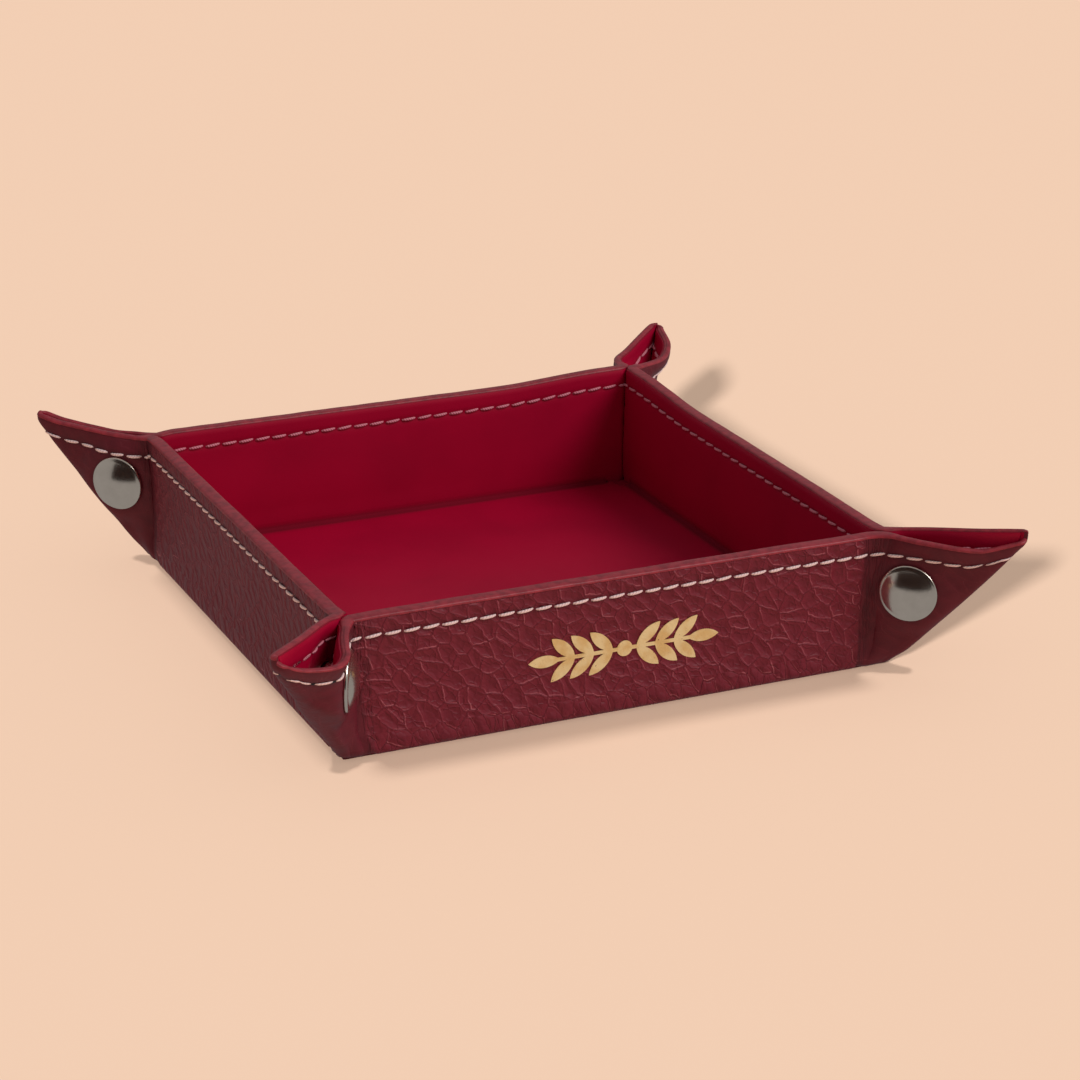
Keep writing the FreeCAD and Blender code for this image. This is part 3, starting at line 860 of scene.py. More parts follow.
@dataclass(frozen=True)
class PebbledLeather:
    """Burgundy calf with a coarse pebble grain that is pressed smooth on the ears, with a painted highlight
    on one lip of each crease and painted shade in the creases, wrinkles, stitch groove and stitch holes.
    """

    valley: tuple = tone(118, 26, 42)
    face: tuple = tone(104, 18, 34)
    # A painted highlight for the crease lips that face the light.
    crest: tuple = tone(190, 108, 116)
    # Painted shade for the stitch holes, the stitch groove and the wrinkles beside the ears.
    hole: tuple = tone(28, 6, 8)
    # The ears' tone, darker than the walls'; also used as painted shade in the grain's creases.
    ear: tuple = tone(74, 9, 22)
    roughness: float = 0.52
    pebble_depth: float = 0.40

    def material(self) -> bpy.types.Material:
        """Builds the finish."""
        graph = Graph("pebbled_leather")
        flat = graph.uv("flat")
        grain = graph.attribute("grain")
        crimp = graph.attribute("crimp")
        pushed = graph.warped(flat, 3.2, 1.5)
        leaning = graph.turned(pushed, 46.0)
        pebble = (1 / 3.0, 1 / 4.6, 1.0)
        coarse = graph.cells(graph.scaled(leaning, pebble))
        moved = graph.wire("ShaderNodeVectorMath", {"operation": "ADD"}, {0: leaning, 1: (0.32, -0.04, 0.0)})
        shifted = graph.cells(graph.scaled(moved, pebble))
        medium = graph.cells(graph.scaled(graph.warped(leaning, 2.0, 1.0), (1 / 1.3, 1 / 2.1, 1.0)))
        ripple = graph.noise(flat, 0.40, 2.0)
        swell = graph.noise(flat, 9.0, 2.0)
        broken = graph.noise(flat, 3.6, 3.0, 0.6).ramp(0.38, 0.60)
        # slope compares the grain with a copy shifted a little to one side, so facing picks out the crease
        # flanks on one side, as light from one direction would.
        slope = coarse - shifted
        facing = slope.ramp(-0.02, 0.07)
        crease = (1.0 - coarse.ramp(0.0, 0.06)) * (0.25 + facing * 0.75)
        small = 1.0 - medium.ramp(0.0, 0.12)
        dome = coarse.ramp(0.0, 0.42)
        lines = (crease + small * 0.22 * broken).lesser(1.0) * grain
        _, near_line, holes = graph.seam((0.15, 1.3), (0.28, 0.72))
        wrinkle_at = graph.scaled(graph.warped(flat, 6.0, 1.6), (1 / 0.9, 1 / 9.0, 1.0))
        wrinkle = graph.wire("ShaderNodeTexNoise", None, {"Vector": wrinkle_at, "Scale": 1.0, "Detail": 2.0})
        folds = (wrinkle - 0.5).size().ramp(0.0, 0.10)
        # A painted highlight: a lighter line along the lip of each crease on the side that faces the light.
        beside_crease = coarse.ramp(0.02, 0.045) * (1.0 - coarse.ramp(0.06, 0.12))
        lit_line = slope.ramp(0.03, 0.08) * beside_crease * (0.15 + broken * 0.85) * grain
        colour = graph.colour_mix(dome * 0.8, self.valley, self.face)
        colour = graph.colour_mix(swell * 0.35, colour, self.valley)
        colour = graph.colour_mix((1.0 - grain) * 0.55, colour, self.ear)
        # Painted shade in the creases, heavier on the flanks turned from the light.
        colour = graph.colour_mix(crease * grain * 0.8, colour, self.ear)
        # The painted highlight on the crease lips.
        colour = graph.colour_mix(lit_line * 0.9, colour, self.crest)
        # Painted shade in the wrinkle lines just past the board's end.
        colour = graph.colour_mix((1.0 - folds) * crimp * 0.28, colour, self.hole)
        # Painted shade along the stitch groove and in the stitch holes.
        colour = graph.colour_mix(near_line * 0.30, colour, self.hole)
        colour = graph.colour_mix(holes, colour, self.hole)
        height = dome * 0.75 * grain - lines * 0.75 + ripple * 0.05 - holes * 0.8 + folds * crimp * 0.25
        height = height + medium.ramp(0.0, 0.34) * 0.14 * grain
        rough = self.roughness + ripple * 0.08 - dome * 0.05
        return graph.finish(
            Base_Color=colour,
            Roughness=rough,
            Normal=graph.bump(height, self.pebble_depth),
            Specular_IOR_Level=0.30,
        )


@dataclass(frozen=True)
class SatinLining:
    """Crimson lining leather with a fine, nearly flat grain and a satin shine, with painted shade in the
    crease at the foot of each wall, in the crack under the painted edge, along the stitch groove and in the
    stitch holes.
    """

    face: tuple = tone(170, 0, 46)
    deep: tuple = tone(140, 0, 36)
    # Painted shade for the stitch holes, the stitch groove, the crack under the painted edge and the crease
    # at the foot of each wall.
    hole: tuple = tone(60, 2, 10)

    def material(self) -> bpy.types.Material:
        """Builds the finish."""
        graph = Graph("satin_lining")
        flat = graph.uv("flat")
        pores = graph.noise(flat, 0.30, 3.0, 0.6)
        cloud = graph.noise(flat, 22.0, 3.0, 0.5)
        drop, near_line, holes = graph.seam((0.1, 1.1), (0.25, 0.60))
        # fold says how much painted shade lies in the crease at the foot of each wall; it also roughens the
        # lining there.
        fold = graph.attribute("fold")
        # A painted shadow in the crack between the lining's top and the painted edge.
        edge = 1.0 - drop.ramp(0.0, 0.5)
        colour = graph.colour_mix(cloud.ramp(0.35, 0.75) * 0.35, self.face, self.deep)
        # Painted shade along the stitch groove and in the stitch holes, and the painted shadow in the crack
        # under the painted edge.
        colour = graph.colour_mix(near_line * 0.25, colour, self.hole)
        colour = graph.colour_mix((holes * 0.8 + edge * 0.5).lesser(1.0), colour, self.hole)
        # Painted shade in the crease at the foot of each wall.
        colour = graph.colour_mix(fold * 0.62, colour, self.hole)
        height = pores * 0.35 - near_line * 0.8 - holes
        return graph.finish(
            Base_Color=colour,
            Roughness=0.44 + pores * 0.10 + fold * 0.45,
            Normal=graph.bump(height, 0.06),
            Specular_IOR_Level=0.16,
        )


@dataclass(frozen=True)
class EdgePaint:
    """Edge paint over the raw edges: a slightly glossy film with a faint ripple."""

    face: tuple = tone(158, 44, 56)
    deep: tuple = tone(126, 30, 42)

    def material(self) -> bpy.types.Material:
        """Builds the finish."""
        graph = Graph("edge_paint")
        place = graph.local()
        ripple = graph.noise(place, 1.6, 3.0)
        specks = graph.noise(place, 0.25, 2.0)
        colour = graph.colour_mix(ripple.ramp(0.3, 0.75), self.face, self.deep)
        return graph.finish(
            Base_Color=colour,
            Roughness=0.40 + specks * 0.12,
            Normal=graph.bump(ripple + specks * 0.25, 0.08),
            Specular_IOR_Level=0.4,
        )


@dataclass(frozen=True)
class SewingThread:
    """Waxed thread, twisted, dull on its crests, with painted shade in the grooves between its plies."""

    name: str = "waxed_thread"
    face: tuple = tone(250, 222, 219)
    deep: tuple = tone(194, 144, 144)

    def material(self) -> bpy.types.Material:
        """Builds the finish."""
        graph = Graph(self.name)
        twist = graph.uv("twist")
        ply, across = graph.split(twist)
        strand = ((ply * 1.6 + across * 0.9).fraction() - 0.5).size() * 2.0
        # Painted shade in the grooves where the plies meet.
        colour = graph.colour_mix(strand ** 3.0 * 0.6, self.face, self.deep)
        fuzz = graph.noise(graph.local(), 0.12, 2.0)
        return graph.finish(
            Base_Color=graph.colour_mix(fuzz * 0.3, colour, self.deep),
            Roughness=0.62 + fuzz * 0.15,
            Normal=graph.bump(1.0 - strand, 0.08),
        )


INNER_THREAD = SewingThread("inner_thread", tone(226, 140, 154), tone(160, 60, 80))


@dataclass(frozen=True)
class PlatedNickel:
    """Bright nickel plating with fine rubbing marks."""

    face: tuple = tone(232, 218, 204)
    roughness: float = 0.13

    def material(self) -> bpy.types.Material:
        """Builds the finish."""
        graph = Graph("plated_nickel")
        place = graph.local()
        haze = graph.noise(place, 2.5, 3.0)
        scratches = graph.noise(graph.scaled(place, (1.0, 1.0, 7.0)), 0.9, 4.0, 0.7)
        colour = graph.colour_mix(haze * 0.35, self.face, tone(176, 164, 152))
        return graph.finish(
            Base_Color=colour,
            Metallic=1.0,
            Roughness=self.roughness + haze * 0.08 + scratches * 0.05,
            Normal=graph.bump(scratches, 0.006),
        )


@dataclass(frozen=True)
class GoldFoil:
    """Hot-stamped gold foil with specks worn through to the leather."""

    face: tuple = tone(255, 224, 166)
    deep: tuple = tone(240, 196, 128)
    leather: tuple = tone(98, 30, 36)

    def material(self) -> bpy.types.Material:
        """Builds the finish."""
        graph = Graph("gold_foil")
        place = graph.local()
        wear = graph.noise(place, 0.9, 4.0, 0.7).ramp(0.66, 0.70)
        cloud = graph.noise(place, 3.0, 2.0).ramp(0.35, 0.7)
        grain = graph.noise(place, 0.5, 3.0)
        colour = graph.colour_mix(cloud, self.face, self.deep)
        return graph.finish(
            Base_Color=graph.colour_mix(wear, colour, self.leather),
            Metallic=0.4 * (1.0 - wear),
            Roughness=0.42 + grain * 0.15,
            Normal=graph.bump(grain, 0.10),
        )


@dataclass(frozen=True)
class GreyBoard:
    """Pressed fibre board, hidden between the sheets."""

    face: tuple = tone(120, 104, 92)

    def material(self) -> bpy.types.Material:
        """Builds the finish."""
        graph = Graph("fibre_board")
        fibres = graph.noise(graph.local(), 0.8, 4.0, 0.7)
        colour = graph.colour_mix(fibres, self.face, tone(92, 78, 68))
        return graph.finish(Base_Color=colour, Roughness=0.9, Normal=graph.bump(fibres, 0.08))


# ---------------------------------------------------------------- sub-assemblies


@dataclass
class Finishes:
    """One material of each finish, shared by the pieces."""

    leather: bpy.types.Material = field(default_factory=lambda: PebbledLeather().material())
    lining: bpy.types.Material = field(default_factory=lambda: SatinLining().material())
    paint: bpy.types.Material = field(default_factory=lambda: EdgePaint().material())
    thread: bpy.types.Material = field(default_factory=lambda: SewingThread().material())
    inner_thread: bpy.types.Material = field(default_factory=lambda: INNER_THREAD.material())
    nickel: bpy.types.Material = field(default_factory=lambda: PlatedNickel().material())
    foil: bpy.types.Material = field(default_factory=lambda: GoldFoil().material())
    board: bpy.types.Material = field(default_factory=lambda: GreyBoard().material())

    def of(self, layer: Layer) -> bpy.types.Material:
        """The material of a layer."""
        return self.leather if layer is Layer.LEATHER else self.lining


@dataclass
class SheetMaker:
    """Makes the visible pieces of leather and lining."""

    sheet: Sheet
    finishes: Finishes
    wall_columns: int = 132
    ear_columns: int = 54
    panel_rows: int = 40
    crease_rows: int = 14
    base_faces: int = 96
    web_faces: int = 6
    base_overlap: float = 0.5
    layer_gap: float = 0.04
    groove: float = 0.13
    groove_width: float = 0.8
    rounding: float = 0.30
    rounding_width: float = 1.1
    lining_inset: float = 0.22
    ear_bend: float = 5.5
    ear_bend_height: float = 15.0

    def depths(self, layer: Layer) -> tuple[float, float]:
        """Depth of a layer's visible face and of its hidden one."""
        if layer is Layer.LEATHER:
            return 0.0, self.sheet.leather - self.layer_gap
        return self.sheet.thickness, self.sheet.leather + self.sheet.board + self.layer_gap

    @property
    def crease_low(self) -> float:
        """Height at which the walls' creases take over from the base plate, on the flat sheet."""
        return -self.sheet.tangent - self.base_overlap

    @property
    def crease_high(self) -> float:
        """Height at which the wall panels take over from their creases."""
        return self.sheet.tangent + 0.1

    def relief(self, folding: Folding, layer: Layer, column: np.ndarray, y: np.ndarray) -> np.ndarray:
        """How far the visible face lies below its flat place.

        Args:
            folding: the wall that the places are on.
            layer: leather or lining.
            column: column of each place.
            y: height of each place.

        Returns:
            Sink in millimetres, towards the middle of the sheet.
        """
        drop = folding.rim(column) - y
        seed = folding.wall.value * 0.013 + (1.0 if layer is Layer.LINING else 2.0)
        flat = folding.flat(column, y)
        groove = self.groove * np.exp(-(((drop - self.sheet.stitch_drop) / self.groove_width) ** 2))
        rounding = self.rounding * (1.0 - smoothstep(drop / self.rounding_width)) ** 2
        from_end = self.sheet.board_end - np.abs(flat[:, 0])
        away = smoothstep((y - self.sheet.tangent) / 4.0) * smoothstep(from_end / 8.0)
        swell = (0.10 + 0.10 * waves(flat[:, 0], flat[:, 1], seed, 26.0)) * away
        return groove + rounding + np.maximum(swell, 0.0)

    def dress(
        self, piece: bpy.types.Object, layer: Layer, flat: np.ndarray, rim: np.ndarray | float,
        **marks: np.ndarray | float,
    ) -> None:
        """Gives a piece its UV maps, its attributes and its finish.

        Args:
            piece: a piece of leather or lining.
            layer: which of the two it is.
            flat: place of each vertex on the flat sheet.
            rim: for each vertex, its stitch's number and its distance below the rim.
            marks: the attributes, with a value for each vertex or one for all.
        """
        write_uv(piece, "flat", flat / UV_SPAN)
        write_uv(piece, "rim", np.ones(flat.shape) * rim / UV_SPAN)
        for name, values in marks.items():
            write_attribute(piece, name, np.ones(len(flat)) * values)
        piece.data.materials.append(self.finishes.of(layer))

    def sheet_piece(
        self, name: str, folding: Folding, layer: Layer, columns: np.ndarray,
        low: float, high: float | None, rows: int,
    ) -> bpy.types.Object:
        """Makes one piece of a layer.

        Args:
            name: name of the piece.
            folding: the wall that it belongs to.
            layer: leather or lining.
            columns: the columns of its grid lines.
            low: height of its lower edge.
            high: height of its upper edge, or None for the rim.
            rows: how many rows of faces it has.

        Returns:
            The piece, a closed slab with flat and rim UV maps.
        """
        bm = slab_grid(len(columns) - 1, rows)
        unit = vertex_array(bm)
        column = column_at(unit[:, 0], columns)
        inset = 0.0 if layer is Layer.LEATHER else self.lining_inset
        top = folding.rim(column) - inset if high is None else np.full(len(unit), high)
        y = mix(low, top, unit[:, 1])
        face, back = self.depths(layer)
        sink = self.relief(folding, layer, column, y) * (1.0 - unit[:, 2])
        sink = sink if layer is Layer.LEATHER else -sink
        depth = mix(face, back, unit[:, 2]) + sink
        move_vertices(bm, folding.place(column, y, depth))
        piece = write_mesh(name, bm)
        flat = folding.flat(column, y)
        shift = folding.wall.value * 1.7 + (700.0 if layer is Layer.LINING else 0.0)
        phase = flat[:, 0] / self.sheet.stitch_pitch
        beyond = (np.abs(column) - 1.0) * 32.0
        grain_end = np.where(column > 0.0, folding.ear(1).grain_end, folding.ear(-1).grain_end)
        self.dress(
            piece, layer, flat + np.array([shift, 0.0]), np.stack([phase, folding.rim(column) - y], -1),
            grain=1.0 - 0.88 * smoothstep((beyond - grain_end + 0.5) / 2.5),
            crimp=smoothstep(beyond / 1.2) * (1.0 - smoothstep((beyond - 4.0) / 6.0)),
            # fold: painted shade in the lining's crease at the foot of the wall.
            fold=np.exp(-((y / 1.9) ** 2)),
        )
        return piece

    def wall_grid(self) -> np.ndarray:
        """Columns of a wall, from one board's end to the other."""
        return np.linspace(-1.0, 1.0, self.wall_columns + 1)

    def ear_grid(self, end: int) -> np.ndarray:
        """Columns of the half ear at one end, closer together at its ends."""
        even = np.linspace(0.0, 1.0, self.ear_columns + 1)
        columns = 1.0 + mix(even, (1.0 - np.cos(np.pi * even)) / 2.0, 0.45)
        return columns if end > 0 else -columns[::-1]

    def make_base(self) -> None:
        """Makes the two plates under the tray's floor and over it."""
        reach = self.sheet.crease_reach + self.crease_low
        for layer in Layer:
            bm = slab_grid(self.base_faces, self.base_faces)
            unit = vertex_array(bm)
            plan = (unit[:, :2] - 0.5) * 2.0 * reach
            face, back = self.depths(layer)
            edge = np.minimum(reach - np.abs(plan[:, 0]), reach - np.abs(plan[:, 1]))
            calm = smoothstep(edge / 14.0)
            swell = (0.12 + 0.12 * waves(plan[:, 0], plan[:, 1], 3.3, 48.0)) * calm * (1.0 - unit[:, 2])
            swell = np.maximum(swell, 0.0)
            swell = swell if layer is Layer.LEATHER else -swell
            height = mix(face, back, unit[:, 2]) + swell
            move_vertices(bm, np.column_stack([plan, height]))
            piece = write_mesh(f"base_{layer.value}_plate", bm)
            place = plan + np.array([1400.0, 300.0])
            self.dress(piece, layer, place, FAR_FROM_RIM, grain=1.0, crimp=0.0, fold=0.0)
            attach(piece, "base")
            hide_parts(f"base_{layer.value}")
            log.info("made %s", piece.name)

    def make_corner_webs(self) -> None:
        """Makes the base sheet's corners, which lie within the creases and show once the ears open."""
        heights = {Layer.LEATHER: (0.35, 0.95), Layer.LINING: (3.0, 2.4)}
        inner, outer = self.sheet.board_end - 2.0, self.sheet.crease_reach + 1.4
        for layer in Layer:
            for side, ahead in ((1, 1), (-1, 1), (-1, -1), (1, -1)):
                bm = slab_grid(self.web_faces, self.web_faces)
                unit = vertex_array(bm)
                plan = mix(inner, outer, unit[:, :2]) * np.array([side, ahead])
                face, back = heights[layer]
                move_vertices(bm, np.column_stack([plan, mix(face, back, unit[:, 2])]))
                corner = ("back" if ahead > 0 else "front") + ("_right" if side > 0 else "_left")
                piece = write_mesh(f"base_{layer.value}_web_{corner}", bm)
                # The webs lie within the creases, so their lining gets the painted crease shade at half
                # strength.
                self.dress(piece, layer, plan, FAR_FROM_RIM, grain=0.2, crimp=0.0, fold=0.5)
                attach(piece, "base")
        log.info("made the base's corner webs")

    def make_wall(self, wall: Wall) -> None:
        """Makes a wall's creases, panels and half ears in both layers."""
        folding = Folding(self.sheet, wall)
        middle = self.wall_grid()
        strip = np.concatenate([self.ear_grid(-1)[:-1], middle, self.ear_grid(1)[1:]])
        for layer in Layer:
            part = layer.value
            crease = self.sheet_piece(
                f"{wall.body()}_{part}_crease", folding, layer, strip,
                self.crease_low, self.crease_high, self.crease_rows,
            )
            self.bend_with_wall(crease)
            panel = self.sheet_piece(
                f"{wall.body()}_{part}_panel", folding, layer, middle, self.crease_high, None, self.panel_rows
            )
            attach(panel, wall.body())
            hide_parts(f"{wall.body()}_{part}")
            for end in (1, -1):
                name = wall.ear_body(end)
                half = self.sheet_piece(
                    f"{name}_{part}_fold", folding, layer, self.ear_grid(end),
                    self.crease_high, None, self.panel_rows,
                )
                self.bend_with_ear(half, wall, end)
                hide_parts(f"{name}_{part}")
            log.info("made the %s wall's %s", wall.title, part)

    def bend_with_wall(self, piece: bpy.types.Object) -> None:
        """Bakes a crease's place into its mesh; it is left on no body, so it follows neither the base nor the
        wall.
        """
        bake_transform(piece)

    def bend_with_ear(self, piece: bpy.types.Object, wall: Wall, end: int) -> None:
        """Bakes a piece's place into its mesh; it is left on no body, so it follows neither the wall nor the
        half ear.
        """
        sheet = self.sheet
        turn = wall.turn()
        height = self.ear_bend_height
        finish = turn @ Vector((end * (sheet.board_end + self.ear_bend), sheet.crease_reach, height)) * MM
        wall.ear_body(end)
        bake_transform(piece)


@dataclass
class EdgeMaker:
    """Paints the edges: a rounded film over the raw rim of each wall and half ear."""

    maker: SheetMaker
    rows: int = 12
    height: float = 0.24
    skirt: float = 0.40
    lining_margin: float = 0.55

    def profile(self, share: np.ndarray) -> tuple[np.ndarray, np.ndarray]:
        """Depth share and height of the film's surface, from the outer face over to the lining."""
        angle = np.pi * share
        across = 0.5 - 0.5 * np.sign(np.cos(angle)) * np.abs(np.cos(angle)) ** 0.55
        rise = np.sin(angle) ** 0.62
        return across, rise

    def edge_piece(self, name: str, folding: Folding, columns: np.ndarray) -> bpy.types.Object:
        """Makes the film along some columns of a wall's rim."""
        bm = slab_grid(len(columns) - 1, self.rows)
        unit = vertex_array(bm)
        column = column_at(unit[:, 0], columns)
        across, rise = self.profile(unit[:, 1])
        inner = 1.0 - 0.16 * unit[:, 2]
        span = self.maker.sheet.thickness - self.lining_margin
        flat = folding.flat(column, np.full(len(unit), self.maker.sheet.rim))
        ripple = 0.05 * waves(flat[:, 0], flat[:, 1], 4.1 + folding.wall.value, 9.0)
        middle = span / 2.0 + 0.02
        depth = middle + (across - 0.5) * (span + 0.04) * inner
        top = -self.skirt + (self.skirt + self.height + ripple) * rise * inner
        y = folding.rim(column) + top - 0.18 * unit[:, 2]
        move_vertices(bm, folding.place(column, y, depth))
        piece = write_mesh(name, bm)
        piece.data.materials.append(self.maker.finishes.paint)
        return piece

    def make_wall(self, wall: Wall) -> None:
        """Paints a wall's rim and its half ears' rims."""
        folding = Folding(self.maker.sheet, wall)
        piece = self.edge_piece(f"{wall.body()}_painted_edge", folding, self.maker.wall_grid())
        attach(piece, wall.body())
        for end in (1, -1):
            piece = self.edge_piece(f"{wall.ear_body(end)}_painted_edge", folding, self.maker.ear_grid(end))
            self.maker.bend_with_ear(piece, wall, end)
        log.info("painted the %s wall's edges", wall.title)


@dataclass
class StitchMaker:
    """Sews the rims: each stitch comes up through one hole and goes down through the next."""

    maker: SheetMaker
    length: float = 3.35
    width: float = 0.30
    lift: float = 0.30
    slant: float = 0.34
    sides: int = 6
    rings: int = 7
    ear_run: float = 30.5

    def template(self) -> bpy.types.Mesh:
        """One stitch as a short tube along x, from -0.5 to 0.5."""
        bm = bmesh.new()
        bmesh.ops.create_cone(
            bm, cap_ends=True, segments=self.sides, radius1=1.0, radius2=1.0, depth=1.0,
            matrix=Matrix.Rotation(math.pi / 2.0, 4, "Y"),
        )
        sides = [edge for edge in bm.edges if abs(edge.verts[0].co.x - edge.verts[1].co.x) > 0.5]
        bmesh.ops.subdivide_edges(bm, edges=sides, cuts=self.rings - 2, use_grid_fill=False)
        mesh = bpy.data.meshes.new("stitch_template")
        bm.to_mesh(mesh)
        bm.free()
        return mesh

    def places(self, low: float, high: float) -> list[float]:
        """Flat distances of the stitches' middles between two columns' places."""
        pitch = self.maker.sheet.stitch_pitch
        counts = range(math.ceil(low / pitch), int(high / pitch) + 1)
        return [count * pitch for count in counts if low <= count * pitch <= high]

    def to_column(self, along: np.ndarray) -> np.ndarray:
        """The column of a flat distance at the height of the stitches."""
        sheet = self.maker.sheet
        beyond = np.maximum(np.abs(along) - sheet.board_end, 0.0)
        height = np.full_like(along, sheet.rim + 1.5 - sheet.stitch_drop)
        reach = EarFold(sheet).span(height)
        inside = np.clip(np.abs(along) / sheet.board_end, 0.0, 1.0)
        return np.sign(along) * (inside + np.clip(beyond / reach, 0.0, 0.9999))

    def row(self, name: str, folding: Folding, layer: Layer, centres: Sequence[float]) -> bpy.types.Object:
        """Sews one row.

        Args:
            name: name of the piece.
            folding: the wall that the row is on.
            layer: the side of the sheet that it shows on.
            centres: flat distances of the stitches' middles.

        Returns:
            All the stitches of the row as one piece.
        """
        sheet = self.maker.sheet
        template = self.template()
        bm = bmesh.new()
        for _ in centres:
            bm.from_mesh(template)
        unit = vertex_array(bm)
        count = len(template.vertices)
        which = np.arange(len(unit)) // count
        centre = np.array(centres)[which]
        wobble = 0.10 * np.sin(which * 2.3 + folding.wall.value)
        bend = np.cos(np.pi * unit[:, 0])
        taper = 0.55 + 0.45 * np.sqrt(np.maximum(bend, 0.0))
        out = self.lift * np.sqrt(np.maximum(bend, 0.0)) - 0.22 + unit[:, 2] * self.width * taper
        along = centre + unit[:, 0] * self.length
        side = 1.0 if layer is Layer.LEATHER else -1.0
        across = unit[:, 1] * self.width * taper * 1.15 + unit[:, 0] * (self.slant + wobble) * -side * 0.8
        column = self.to_column(along)
        y = folding.rim(column) - sheet.stitch_drop + across
        depth = -out if layer is Layer.LEATHER else sheet.thickness + out
        move_vertices(bm, folding.place(column, y, depth))
        piece = write_mesh(name, bm)
        write_uv(piece, "twist", np.stack([along, across], -1) / UV_SPAN)
        thread = self.maker.finishes.thread if layer is Layer.LEATHER else self.maker.finishes.inner_thread
        piece.data.materials.append(thread)
        bpy.data.meshes.remove(template)
        return piece

    def make_wall(self, wall: Wall) -> None:
        """Sews a wall's rim and its half ears' rims, outside and inside."""
        folding = Folding(self.maker.sheet, wall)
        edge = self.maker.sheet.board_end
        last = edge + self.ear_run
        half_pitch = self.maker.sheet.stitch_pitch / 2.0
        for layer in Layer:
            middle = [at + half_pitch for at in self.places(-edge, edge - half_pitch)]
            piece = self.row(f"{wall.body()}_{layer.value}_stitches", folding, layer, middle)
            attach(piece, wall.body())
            if layer is Layer.LEATHER:
                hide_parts(f"{wall.body()}_stitching")
            for end in (1, -1):
                name = wall.ear_body(end)
                begin = (middle[-1] if end > 0 else -middle[0]) + 2.0 * half_pitch
                centres = [end * (begin + step * 2.0 * half_pitch) for step in range(20)]
                centres = [at for at in centres if abs(at) < last - half_pitch]
                piece = self.row(f"{name}_{layer.value}_stitches", folding, layer, centres)
                self.maker.bend_with_ear(piece, wall, end)
                if layer is Layer.LEATHER:
                    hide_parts(f"{name}_stitching")
        log.info("sewed the %s wall", wall.title)


@dataclass
class CapMaker:
    """Turns the studs' domed caps, with a rolled edge, where the CAD caps sit."""

    finishes: Finishes
    diameter: float = 12.4
    dome: float = 2.6
    edge: float = 0.9
    roll: float = 0.42
    steps: int = 64

    def profile(self) -> list[tuple[float, float]]:
        """Radius and height of the cap's outline, from the middle of its dome to its flat back."""
        radius = self.diameter / 2.0
        points = []
        for step in range(13):
            share = step / 12.0
            height = self.edge + (self.dome - self.edge) * (1.0 - share ** 2.1)
            points.append((share * (radius - 0.55), height))
        for angle in (70, 35, 0, -35, -70):
            turn = math.radians(angle)
            rise = self.edge / 2.0 + self.edge / 2.0 * math.sin(turn)
            points.append((radius - self.roll + self.roll * math.cos(turn), rise))
        points.append((radius - 0.8, 0.02))
        points.append((0.0, 0.02))
        return points

    def seat(self, node: str, wall: Wall, end: int) -> tuple[Vector, Vector]:
        """The middle of a CAD cap's back and its outward direction, in millimetres."""
        places = np.array([vertex.co for vertex in frame["nodes"][node].data.vertices], float) / MM
        middle = (places.max(0) + places.min(0)) / 2.0
        spread = np.linalg.eigh(np.cov((places - places.mean(0)).T))[1][:, 0]
        turn = wall.turn()
        outward = turn @ Vector((-end, 1.0, 0.0))
        axis = Vector(spread)
        axis = axis if axis.dot(outward) > 0 else -axis
        heights = (places - middle) @ np.array(axis)
        back = Vector(middle) + axis * (float(heights.max()) - self.dome)
        return back, axis

    def make(self, corner: str, wall: Wall, end: int) -> None:
        """Makes the cap of one corner and sets it on its half ear."""
        node = f"stud_{corner}_cap"
        back, axis = self.seat(node, wall, end)
        shape = EAR_SHAPES[(corner, wall.title)]
        axis = Matrix.Rotation(math.radians(shape.tilt) * end, 3, "Z") @ axis
        back = back + Vector((0.0, 0.0, shape.stud_lift))
        bm = bmesh.new()
        ring = [bm.verts.new((radius, 0.0, height)) for radius, height in self.profile()]
        edges = [bm.edges.new(pair) for pair in zip(ring, ring[1:])]
        bmesh.ops.spin(
            bm, geom=ring + edges, cent=(0, 0, 0), axis=(0, 0, 1), angle=2 * math.pi,
            steps=self.steps, use_merge=True,
        )
        bmesh.ops.remove_doubles(bm, verts=bm.verts[:], dist=1e-4)
        turn = axis.to_track_quat("Z", "Y").to_matrix().to_4x4()
        seated = Matrix.Scale(MM, 4) @ Matrix.Translation(back) @ turn
        bmesh.ops.transform(bm, verts=bm.verts[:], matrix=seated)
        cap = write_mesh(f"{node}_dome", bm)
        cap.data.materials.append(self.finishes.nickel)
        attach(cap, wall.ear_body(end))
        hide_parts(node)
        log.info("made %s", cap.name)

    def make_all(self) -> None:
        """Makes the four caps, each on the half ear that carries it."""
        carriers = {
            "front_left": Wall.FRONT, "front_right": Wall.FRONT,
            "back_left": Wall.LEFT, "back_right": Wall.RIGHT,
        }
        for corner, wall in carriers.items():
            end = 1 if wall.corner(1) == corner else -1
            self.make(corner, wall, end)


@dataclass
class Hardware:
    """Dresses the studs, the boards and the gilded sprig, whose CAD shapes stay."""

    finishes: Finishes

    def dress(self) -> None:
        """Gives every CAD node that stays its finish."""
        for name, node in frame["nodes"].items():
            if node.hide_render:
                continue
            if name.startswith("stud_"):
                material = self.finishes.nickel
                self.smooth(node)
            elif name.endswith("ornament"):
                material = self.finishes.foil
            else:
                material = self.finishes.board
            node.data.materials.clear()
            node.data.materials.append(material)
            log.info("dressed %s", name)

    def smooth(self, node: bpy.types.Object) -> None:
        """Shades a turned part smooth all over, without moving a vertex."""
        for polygon in node.data.polygons:
            polygon.use_smooth = True


